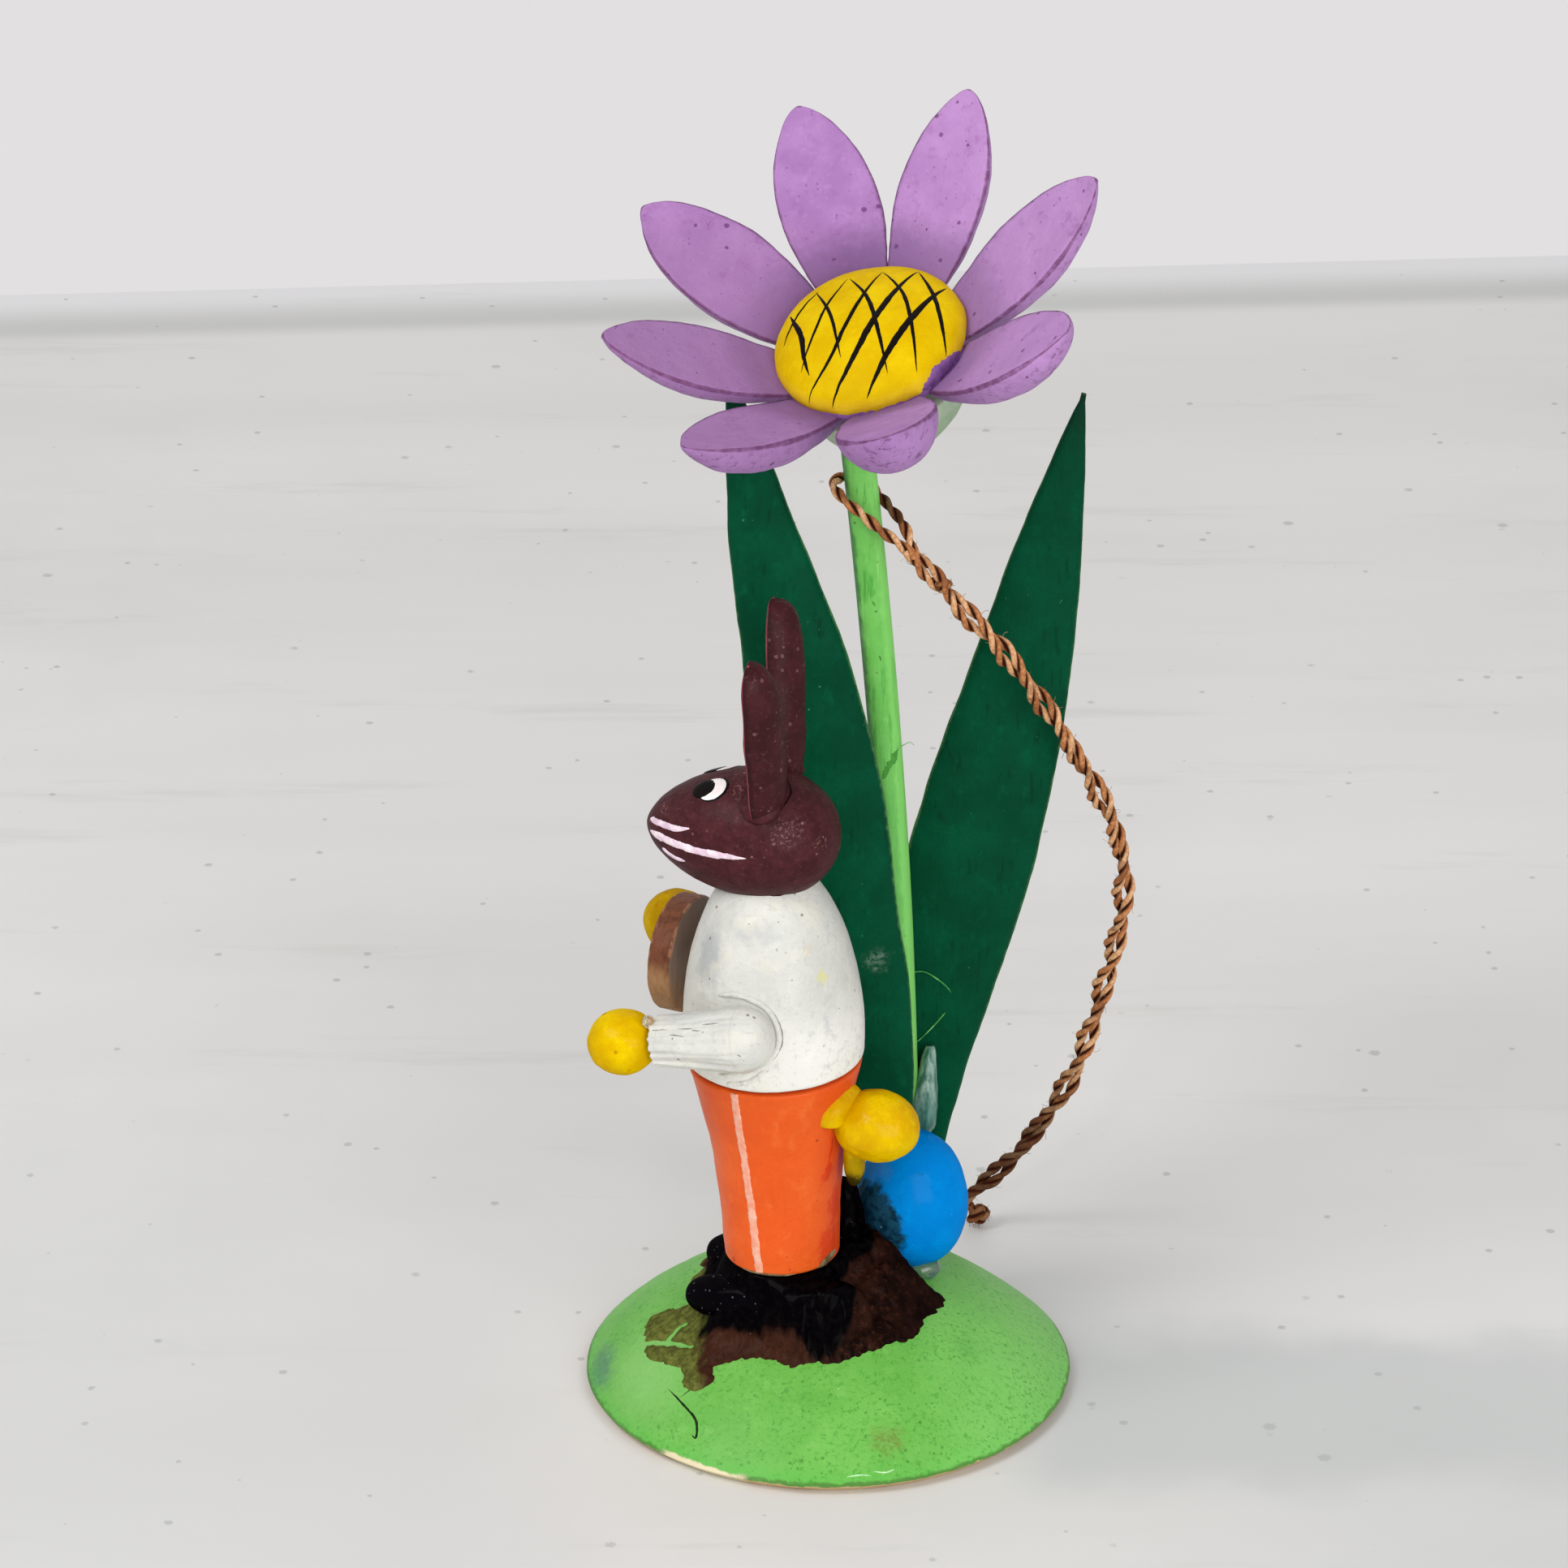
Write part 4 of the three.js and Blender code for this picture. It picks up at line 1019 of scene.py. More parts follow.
def earFinish():
    make = Finish("earPaint", 0.5, coatWeight=0.05, coatRough=0.2, relief=0.09, specular=0.06)
    w = make.wires
    make.paint((192, 96, 106), (170, 78, 90), (212, 128, 136), 0.35)
    make.scuff((3.0, 3.0, 0.5), 0.6, (232, 190, 190), 0.5)
    make.dots(1.6, 0.1, 0.2, (110, 40, 48), 0.7)
    inside = make.colour
    make.paint((70, 30, 34), (54, 22, 25), (86, 44, 48), 0.6)
    make.over(make.cloud(0.56, 0.68, 3.0, 5.0, 0.75), (108, 70, 72), 0.5)
    make.dots(2.4, 0.26, 0.35, (140, 100, 98), 0.4)
    make.over(w.band(w.attribute("inner"), 0.45, 0.55), inside)
    make.worn(0.9, 0.16, (34, 14, 18), 0.55)
    return make.finish()


earPaint = earFinish()


def makeEar(name, node, side, splay, lean, length):
    width, depth, bluntness, flat = 3.5, 1.95, 3.2, 32
    rings, inner, edge = [], [], []
    for tall in np.cos(np.linspace(pi - 0.05, 0.04, 120)):
        tall = np.sign(tall) * abs(tall) ** (2 / bluntness)
        wide = max(1 - abs(tall) ** bluntness, 1e-5) ** (1 / bluntness)
        half, deep, high = width / 2 * wide, depth * wide, length / 2 * (1 + tall)
        ring = []
        for s in (-1 + 2 * k / (flat - 1) for k in range(flat)):
            ring.append(((0.10 * (1 - s * s) if abs(s) < 0.97 else 0.05) * wide, s * half, high))
            edge.append(max(abs(s), abs(tall)) if abs(s) < 0.999 else 1.0)
        for a in (pi * (k + 1) / (flat + 1) for k in range(flat)):
            ring.append((deep * sin(a), half * cos(a), high))
            edge.append(max(0.0, abs(cos(a)) ** 3))
        inner += [1.0] * flat + [0.0] * flat
        rings.append(ring)
    place = head @ move(0, side * 1.95, 1.6) @ turn("X", -side * splay) @ turn("Y", -lean)
    ear = makePiece(name, ringSkin(rings), earPaint, [node], place)
    storeValue(ear, "inner", inner + [1.0, 1.0])
    storeValue(ear, "edge", edge + [1.0, 1.0])
    roughen(ear, [(0.07, 1.8, 3.0 + side), (0.02, 0.5, 8.0)])


makeEar("earLeft", "ear_left", -1, 9, 0, 11.1)
makeEar("earRight", "ear_right", 1, 14, 3.5, 11.9)
print("head and ears")


# Hands: yellow balls
def yellowFinish(name, main, deep, pale, rough):
    make = Finish(name, rough, coatWeight=0.08, coatRough=0.08, relief=0.1, specular=0.0)
    make.paint(main, deep, pale, 0.5)
    make.dots(1.4, 0.25, 0.4, (176, 116, 0), 0.7)
    make.dots(3.1, 0.09, 0.2, (116, 84, 20), 0.6)
    return make.finish()


def makeHand(name, node, arm, reach, paint):
    facts = {"half": (2.16, 2.03, 2.0), "cuff": 5.8}
    hand = makePiece(name, ringSkin(bean(*facts["half"])), paint, [node],
                     arm @ move(-facts["cuff"] - reach, 0, 0))
    roughen(hand, [(0.09, 1.5, 6.0 + reach), (0.03, 0.5, 2.0)])


makeHand("handLeft", "hand_left", leftArm, 1.78, yellowFinish(
    "yellowPaint", (232, 198, 0), (210, 164, 0), (242, 212, 14), 0.32))
makeHand("handRight", "hand_right", rightArm, 2.3, yellowFinish(
    "yellowSoiled", (204, 166, 8), (176, 134, 4), (222, 184, 20), 0.4))


# Palette: stained wood, paler below; painted highlight on its rim, painted sheen on its back
def paletteFinish():
    make = Finish("paletteWood", 0.55, coatWeight=0.05, coatRough=0.3, relief=0.1, specular=0.12)
    w = make.wires
    fibres, height = make.use(grain, Stretch=(2.4, 2.4, 0.5))
    level = w.ragged(make.z, make.noise(0.7, 4.0, 0.65), 2.6)
    make.colour = w.mix(fibres, tone(120, 72, 48), tone(80, 44, 31))
    make.over(w.band(level, 28.7, 27.3), w.mix(fibres, tone(163, 123, 85), tone(130, 92, 60)))
    # Painted sheen: the back face is paler grey-brown towards the top
    make.over(w.attribute("back"), (150, 134, 122), 0.6, w.band(level, 25.6, 28.0))
    # Painted highlight: a pale line along the rim
    make.worn(0.84, 0.35, (184, 132, 98), 0.5, make.cloud(0.46, 0.58, 1.1, 3.0, 0.6))
    make.dots(1.3, 0.12, 0.2, (48, 26, 20), 0.7)
    return make.finish(height)


def makePalette():
    radius, thick, bend, around = 3.6, 1.5, 0.14, 150
    flat = [(r, 0.0) for r in (0.2, 1.0, 1.8, 2.5, 3.0, 3.3)]
    corner = [(radius - bend * (1 - sin(a)), bend * (1 - cos(a)))
              for a in np.linspace(0, pi / 2, 6)]
    sides = np.linspace(0.18, 0.82, 9)
    half = flat + corner
    profile = half + [(radius, thick * t) for t in sides]
    profile += [(r, thick - z) for r, z in half[::-1]]
    ends = [0.0] * len(flat) + [1.0] * len(corner)
    edge = ends + [abs(2 * t - 1) ** 2 * 0.9 for t in sides] + ends[::-1]
    piece = makeTurned("paletteDisc", profile, around, paletteFinish(),
                       "palette", move(-8.2, 2.8, 27.6) @ turn("Z", -25) @ turn("Y", -90),
                       [(0.08, 2.2, 4.0), (0.02, 0.5, 1.0)])
    storeValue(piece, "edge", list(np.repeat(edge, around)) + [0.0, 0.0])
    back = [float(z < 0.05) for r, z in profile]
    storeValue(piece, "back", list(np.repeat(back, around)) + [1.0, 0.0])


makePalette()


# Tail, stuck on with a lip of paint and glue that ran down
def tailFinish():
    make = Finish("tailPaint", 0.3, coatWeight=0.12, coatRough=0.05, relief=0.1, specular=0.0)
    make.paint((228, 190, 0), (208, 158, 0), (240, 208, 6), 0.5)
    level = make.wires.ragged(make.z, make.noise(0.9, 3.0), 1.6)
    make.over(make.wires.band(level, 18.3, 17.3), (166, 136, 0))
    make.over(make.wires.band(level, 16.9, 16.0), (52, 42, 8))
    make.dots(1.8, 0.12, 0.25, (170, 116, 12), 0.7)
    return make.finish()


def placedBean(place, *half, around, count):
    points, faces = ringSkin(bean(*half, around=around, count=count))
    return carried(place, points), faces


def makeTail():
    facts = {"half": (2.66, 2.33, 2.18), "reach": 6.55, "side": 0.2, "height": 12.58}
    ball = placedBean(rabbit @ move(facts["reach"], facts["side"], facts["height"]),
                      *facts["half"], around=110, count=70)
    lipOutline = carried(rabbit, [
        (4.0, -2.4, 13.3), (4.15, -2.4, 13.9), (4.4, -2.15, 14.4), (4.75, -1.6, 14.75),
        (4.9, -0.5, 14.95), (4.9, 0.8, 14.8), (4.7, 1.7, 13.8), (4.5, 1.5, 12.2),
        (4.45, 0.4, 12.0), (4.4, -0.8, 12.5), (4.25, -1.7, 13.0), (4.05, -2.35, 13.2)])
    lip = patchSheet(trouserTree, spotOn(rabbit, (4.75, -0.5, 13.6)), lipOutline, 0.75, 4.0,
                     rag=0.02, rings=14, around=90)
    drop = placedBean(rabbit @ move(5.05, 0.05, 10.0), 0.66, 0.78, 1.75, around=60, count=40)
    tail = makePiece("tailBall", together([ball, lip, drop]), tailFinish(),
                     ["tail"], closed=False)
    roughen(tail, [(0.08, 1.4, 14.0), (0.03, 0.5, 5.0)])


makeTail()
print("hands, palette, tail")


# Shoes: gloss black
def shoeFinish():
    make = Finish("shoePaint", 0.45, coatWeight=0.05, coatRough=0.14, relief=0.16, specular=0.0)
    make.paint((6, 4, 8), (3, 2, 4), (14, 11, 17), 0.5)
    make.scuff((0.8, 3.0, 3.0), 0.62, (40, 36, 46), 0.3)
    # Pale dots on the shoes: specks of dust and painted glints
    make.dots(4.2, 0.24, 0.4, (104, 100, 114), 0.7, make.cloud(0.36, 0.5, 0.9, 3.0))
    return make.finish()


shoePaint = shoeFinish()


# The bean's length is laid along X, its height up and its width across
def makeShoe(name, node, side, forward):
    facts = {"half": (1.55, 1.65, 5.3), "bluntness": 2.7, "pitch": 6}
    place = rabbit @ move(-forward, side * 2.6, 0.6) @ turn("Y", -facts["pitch"]) @ turn("Y", -90)
    shoe = makePiece(name, ringSkin(bean(*facts["half"], facts["bluntness"], 80, 90)), shoePaint,
                     [node], place)
    roughen(shoe, [(0.10, 2.4, 5.0 * side), (0.03, 0.7, 2.0)])


makeShoe("shoeLeft", "shoe_left", -1, 0)
makeShoe("shoeRight", "shoe_right", 1, 1.1)


# Egg: blue, soiled where the glue is
def eggFinish():
    make = Finish("eggPaint", 0.4, coatWeight=0.06, coatRough=0.08, relief=0.08, specular=0.0)
    make.paint((0, 143, 228), (0, 126, 212), (0, 157, 238), 0.3)
    # Painted light: a paler patch on the egg's upper left, where the light falls
    make.mark((2.6, 0.8, 14.0), (1.6, 2.4, 1.4), (64, 140, 216), 0.6, 0.8)
    dirt = make.wires.between(make.noise(1.3, 4.0, 0.6), 0.38, 0.62, (8, 26, 30), (28, 72, 88))
    make.mark((2.0, -0.5, 10.1), (2.9, 3.8, 3.5), dirt, 0.95, 0.2)
    make.scuff((1.5, 1.5, 3.6), 0.62, (6, 74, 140), 0.5)
    make.dots(1.6, 0.1, 0.2, (150, 206, 236), 0.5)
    return make.finish()


def makeEgg():
    x, y, radius, height, tilt = 5.15, 2.35, 3.5, 9.0, 4
    foot = float(domeTop(x, y)) - 0.05
    profile = [(radius * cos(a) * (1 - 0.08 * sin(a)), height / 2 * sin(a))
               for a in np.linspace(-pi / 2 + 0.02, pi / 2 - 0.02, 110)]
    makeTurned("eggTurned", profile, 160, eggFinish(), "egg",
               move(x, y, foot + height / 2) @ turn("Y", tilt),
               [(0.07, 2.5, 31.0), (0.02, 0.6, 6.0)])


makeEgg()


# Flower: bead, calyx and petals
def beadFinish():
    make = Finish("beadPaint", 0.5, relief=0.06, specular=0.03)
    make.paint((226, 192, 6), (212, 172, 0), (234, 204, 16), 0.5)
    edge = make.wires.attribute("edge")
    make.over(make.wires.band(edge, 0.86, 1.0), (240, 196, 60), 0.35)
    make.dots(1.5, 0.09, 0.2, (150, 96, 20), 0.6)
    return make.finish()


def makeBead():
    radius, rise, around = 5.85, 2.1, 180
    turns = np.linspace(-pi / 2 + 0.02, pi / 2 - 0.02, 100)
    bead = makeTurned("beadTurned", [(radius * cos(a), rise * sin(a)) for a in turns], around,
                      beadFinish(), "flower_centre", flower,
                      [(0.08, 2.4, 17.0), (0.02, 0.6, 3.0)])
    edge = [cos(max(a, 0)) ** 2 for a in turns]
    storeValue(bead, "edge", list(np.repeat(edge, around)) + [0.0, 0.0])
    return bead


beadTree = surfaceOf(makeBead())


def calyxFinish():
    make = Finish("calyxPaint", 0.5, relief=0.07, specular=0.1)
    make.paint((178, 192, 170), (146, 168, 138), (196, 208, 186), 0.35)
    make.scuff((2.5, 2.5, 0.7), 0.58, (92, 138, 96), 0.5)
    return make.finish()


def makeCalyx():
    radius, top = 5.2, -2.5
    profile = [(0.3, top), (2.5, top), (4.6, top), (radius - 0.1, top - 0.02),
               (radius, top - 0.12)]
    profile += [(radius * cos(a), top - radius * sin(a))
                for a in np.linspace(0.04, pi / 2 - 0.02, 60)]
    makeTurned("calyxTurned", profile, 140, calyxFinish(), "calyx", flower,
               [(0.07, 2.0, 2.0), (0.02, 0.6, 3.0)])


makeCalyx()


def petalFinish():
    make = Finish("petalPaint", 0.6, relief=0.07, specular=0.12)
    make.paint((171, 126, 182), (156, 111, 168), (186, 142, 194), 0.5)
    w = make.wires
    along, under = w.attribute("along"), w.attribute("under")
    # Painted shade towards the roots of the petals
    make.over(w.band(along, 0.5, 0.1), (122, 84, 146), 0.6)
    root = w.plus(along, w.times(make.noise(1.4, 4.0, 0.7), 0.14))
    make.over(w.band(root, 0.54, 0.34), (84, 54, 100), 0.6)
    # Painted shade on the low petals at the left
    make.over(w.band(make.z, 73.0, 67.0), (152, 112, 156), 0.6, w.band(make.x, 4.0, -6.0))
    # Painted light: petals to the right are paler, and undersides are lightened for light thrown
    # up from below
    make.over(w.band(make.x, -1.0, 12.0), (210, 164, 218), 0.34)
    make.over(under, (180, 134, 198), 0.35)
    make.over(under, (84, 40, 84), 0.6, make.cloud(0.54, 0.62, 1.5, 5.0, 0.75))
    make.over(make.cloud(0.54, 0.7, 0.9, 5.0, 0.7), (140, 92, 146), 0.45)
    make.worn(0.93, 0.12, (96, 48, 86), 0.85)
    make.dots(1.1, 0.17, 0.4, (92, 46, 100), 0.75)
    make.dots(2.6, 0.2, 0.3, (126, 78, 148), 0.6)
    make.scuff((2.0, 2.0, 2.0), 0.66, (86, 40, 92), 0.6)
    return make.finish()


petalPaint = petalFinish()
petals = {
    "length": 14.2, "rootWidth": 2.2, "rootRadius": 3.6, "rootDrop": 1.6, "lift": 32.5,
    "start": 98, "widths": [6.1, 5.8, 6.3, 6.3, 6.2, 5.5, 6, 6.2],
    "depths": [2.2, 2.3, 2.3, 2.7, 3, 2.6, 2, 2.2],
    "swings": [0, 5, 2, 1, -2, -4, 1.5, -4], "lifts": [-3, -1.5, 0, -0.5, 2.5, 0, 6.5, -5],
}


def makePetal(index):
    width, length = petals["widths"][index], petals["length"]
    flat, arcCount, steps = 22, 24, 96
    rings, edge, along, under = [], [], [], []
    for t in 0.5 - 0.5 * np.cos(np.linspace(0, pi, steps)):
        opened = (0.06 + 0.94 * t) ** 1.2
        swell = max(sin(pi * min(1, opened)), 0) ** (0.5 + 0.12 * t)
        share = max(swell, petals["rootWidth"] / width * (1 - t) ** 2, 0.02)
        half = width / 2 * share
        deep = petals["depths"][index] * max(share ** 1.2, 0.04)
        ring = []
        for s in (1 - 2 * k / (flat - 1) for k in range(flat)):
            ring.append((t * length, s * half * 0.99, -0.10 * share * (1 - s * s)))
            edge.append(max(abs(s) * 0.99, 1 - (1 - t) * 9))
            under.append(0.0)
        for a in (pi * (k + 0.5) / arcCount for k in range(arcCount)):
            ring.append((t * length, -half * cos(a), -0.06 - deep * sin(a)))
            edge.append(abs(cos(a)) ** 8)
            under.append(sin(a) ** 0.5)
        along += [t] * len(ring)
        rings.append(ring)
    angle = petals["start"] - 45 * index + petals["swings"][index]
    place = flower @ turn("Z", angle) @ move(petals["rootRadius"], 0, -petals["rootDrop"]) @ turn(
        "Y", -petals["lift"] - petals["lifts"][index])
    piece = makePiece(f"petalCarved{index + 1}", ringSkin(rings), petalPaint,
                      [f"petal_{index + 1}"], place)
    storeValue(piece, "edge", edge + [0.0, 1.0])
    storeValue(piece, "along", along + [0.0, 1.0])
    storeValue(piece, "under", under + [0.0, 0.0])
    roughen(piece, [(0.10, 2.6, 3.1 * index), (0.03, 0.7, 2.0)])


for index in range(8):
    makePetal(index)
print("flower")


# Leaves: thin and cupped, widest near the middle
def leafFinish():
    make = Finish("leafPaint", 0.6, relief=0.06, specular=0.05)
    make.paint((0, 78, 50), (0, 64, 40), (6, 92, 60), 0.3)
    w = make.wires
    make.scuff((3.0, 3.0, 0.25), 0.57, (2, 44, 28), 0.5, 0.7)
    make.dots(1.5, 0.1, 0.22, (70, 140, 96), 0.6)
    make.mark((2.9, 6.0, 25.7), (1.15, 1.4, 1.2), (150, 178, 160), 0.4, 0.95,
              make.cloud(0.4, 0.62, 2.6, 4.0, 0.7))
    make.worn(0.955, 0.09, (120, 168, 104), 0.7)
    make.over(w.band(w.attribute("along"), 0.93, 1.0), (14, 40, 30), 0.7)
    return make.finish()


leafPaint = leafFinish()


def unitVector(vector):
    return vector / np.linalg.norm(vector)


def makeLeaf(name, node, midline, seed):
    facts = {"thick": 0.7, "width": 7.9, "foot": 1.8, "widest": 0.47, "cup": 0.12}
    thickness, width, footWidth, widest, cup = facts.values()
    steps, wide, foot = 240, 20, footWidth / width
    spine = smoothLine(midline, steps)
    rings, edge, along = [], [], []
    for i in range(steps):
        t = i / (steps - 1)
        run = unitVector(spine[min(i + 1, steps - 1)] - spine[max(i - 1, 0)])
        across = unitVector(np.array([run[2], 0, -run[0]]))
        face = np.cross(run, across)
        below, above = min(t / widest, 1), max((t - widest) / (1 - widest), 0)
        share = (1 - above ** 1.63) ** 0.9 if above > 0 else foot + (1 - foot) * sin(
            pi / 2 * below) ** 2
        half = width / 2 * max(share, 0.035) * (1 + 0.014 * waveAt(t * 24, seed, 0))
        thin = min(1.0, 0.4 + (1 - t) * 12)
        ring = []
        for layer in (-1, 1):
            for s in np.linspace(-1, 1, wide) * -layer:
                lift = layer * thin * thickness / 2 * (1 - 0.75 * abs(s) ** 14)
                ring.append(spine[i] + across * s * half + face * (
                    lift - cup * half * (1 - s * s)))
                edge.append(max(abs(s), 1 - (1 - t) * 18))
        along += [t] * len(ring)
        rings.append(ring)
    leaf = makePiece(name, ringSkin(rings), leafPaint, [node])
    storeValue(leaf, "edge", edge + [1.0, 1.0])
    storeValue(leaf, "along", along + [0.0, 1.0])
    roughen(leaf, [(0.09, 3.2, seed), (0.02, 0.7, 2.0)])


makeLeaf("leafLeft", "leaf_left", [
    (3.9, 6.5, 5.6), (3.7, 6.5, 14), (2.2, 6.5, 22.5), (0.4, 6.5, 29), (-0.7, 6.5, 37.4),
    (-2.2, 6.8, 45.8), (-4, 7.6, 53.2), (-6.1, 8.6, 63.8)], 2.0)
makeLeaf("leafRight", "leaf_right", [
    (5.9, 9.8, 3.4), (6.1, 9.8, 14), (7.5, 10, 25), (9.5, 10.5, 33.6), (11, 11, 39.6),
    (12.6, 11.6, 47), (14, 12.2, 54), (15.3, 12.8, 60.3)], 7.0)
print("leaves")


# Glue on the dome: a film that follows it, thick in lumps, thin and olive at the lobes
def glueFinish():
    make = Finish("brownGlue", 0.5, coatWeight=0.03, coatRough=0.12, relief=0.34, specular=0.0)
    w = make.wires
    cloud, fine = make.noise(0.7, 5.0, 0.65), make.noise(2.4, 5.0, 0.62)
    make.colour = w.between(cloud, 0.36, 0.66, (20, 9, 7), (50, 27, 20))
    make.over(w.band(fine, 0.5, 0.7), (96, 52, 38), 0.4)
    make.over(w.band(make.x, 2.0, -3.0), (84, 50, 36), 0.4)
    make.over(w.band(make.x, 2.0, 5.0), (14, 6, 5), 0.55)
    make.dots(2.6, 0.16, 0.35, (12, 6, 5), 0.8)
    make.over(w.band(w.ragged(w.attribute("black"), cloud, 0.5), 0.35, 0.65),
              w.between(fine, 0.4, 0.7, (2, 1, 3), (12, 8, 9)))
    make.over(w.band(w.ragged(w.attribute("thin"), cloud, 0.5), 0.4, 0.8),
              w.between(fine, 0.35, 0.7, (80, 84, 38), (118, 124, 58)))
    # Painted glints: tiny pale dots
    make.dots(2.9, 0.07, 0.14, (176, 168, 164), 0.6)
    return make.finish(w.plus(fine, w.times(cloud, 0.6)))


glue = {
    "thick": 0.4, "step": 0.11, "mound": (1.1, 0.6), "moundWidth": 2.4, "moundHeight": 6.0,
    "moundBlunt": 2.6, "hem": 9.93, "hemRadius": 3.3, "skirt": 1.3, "bank": 2.9, "bankReach": 6.4,
    "heel": (3.3, -2.6), "heelHalf": 1.3, "heelWidth": 2.4, "heelRise": 2.6, "lean": 0.033,
    "gaps": [[(-11.7, -2.6), (-11.0, -3.15), (-10.02, -3.94), (-9.2, -4.6), (-8.4, -5.2)],
             [(-10.0, -3.9), (-9.53, -3.48), (-9.1, -3.1), (-8.79, -3.03)]],
    "outline": [
        (-8.0, 4.6), (-7.7, 3.1), (-8.6, 1.9), (-8.1, 0.4), (-8.5, -1.1), (-11, -0.5),
        (-11.25, -2.4), (-11.1, -4.4), (-8.9, -6.75), (-8.8, -7.9), (-8.2, -8.4),
        (-7.2, -8.4), (-7, -7.3), (-5.4, -7.4), (-3.8, -7.8), (-2.2, -8.65), (-1.4, -8.4),
        (0.2, -8.45), (1.8, -7.85), (3.4, -6.9), (5.3, -5.7), (5.8, -4.2), (7.1, -1.7),
        (5.8, -0.7), (4.9, 0.1), (4.5, 1.2), (3.4, 2.2), (3.2, 3.6),
        (1.9, 4.3), (0.6, 5.4), (-0.8, 5.0), (-2.2, 5.7), (-3.6, 5.1), (-5.0, 5.8),
        (-6.6, 5.0)],
}


def offRun(a, b, x, y):
    run = b - a
    t = np.clip(((x - a[0]) * run[0] + (y - a[1]) * run[1]) / max(run @ run, 1e-9), 0, 1)
    return np.hypot(x - a[0] - t * run[0], y - a[1] - t * run[1])


def distanceToLine(line, x, y):
    line = np.array(line)
    return np.minimum.reduce([offRun(a, b, x, y) for a, b in zip(line[:-1], line[1:])])


def distanceInside(outline, x, y):
    inside = np.zeros_like(x, bool)
    ends = np.roll(outline, -1, axis=0)
    for a, b in zip(outline, ends):
        crosses = (a[1] > y) != (b[1] > y)
        with np.errstate(divide="ignore", invalid="ignore"):
            at = (b[0] - a[0]) * (y - a[1]) / (b[1] - a[1]) + a[0]
        inside ^= crosses & (x < at)
    near = np.minimum.reduce([offRun(a, b, x, y) for a, b in zip(outline, ends)])
    return np.where(inside, near, -near)


def easeUp(value, low, high):
    t = np.clip((value - low) / (high - low), 0, 1)
    return t * t * (3 - 2 * t)


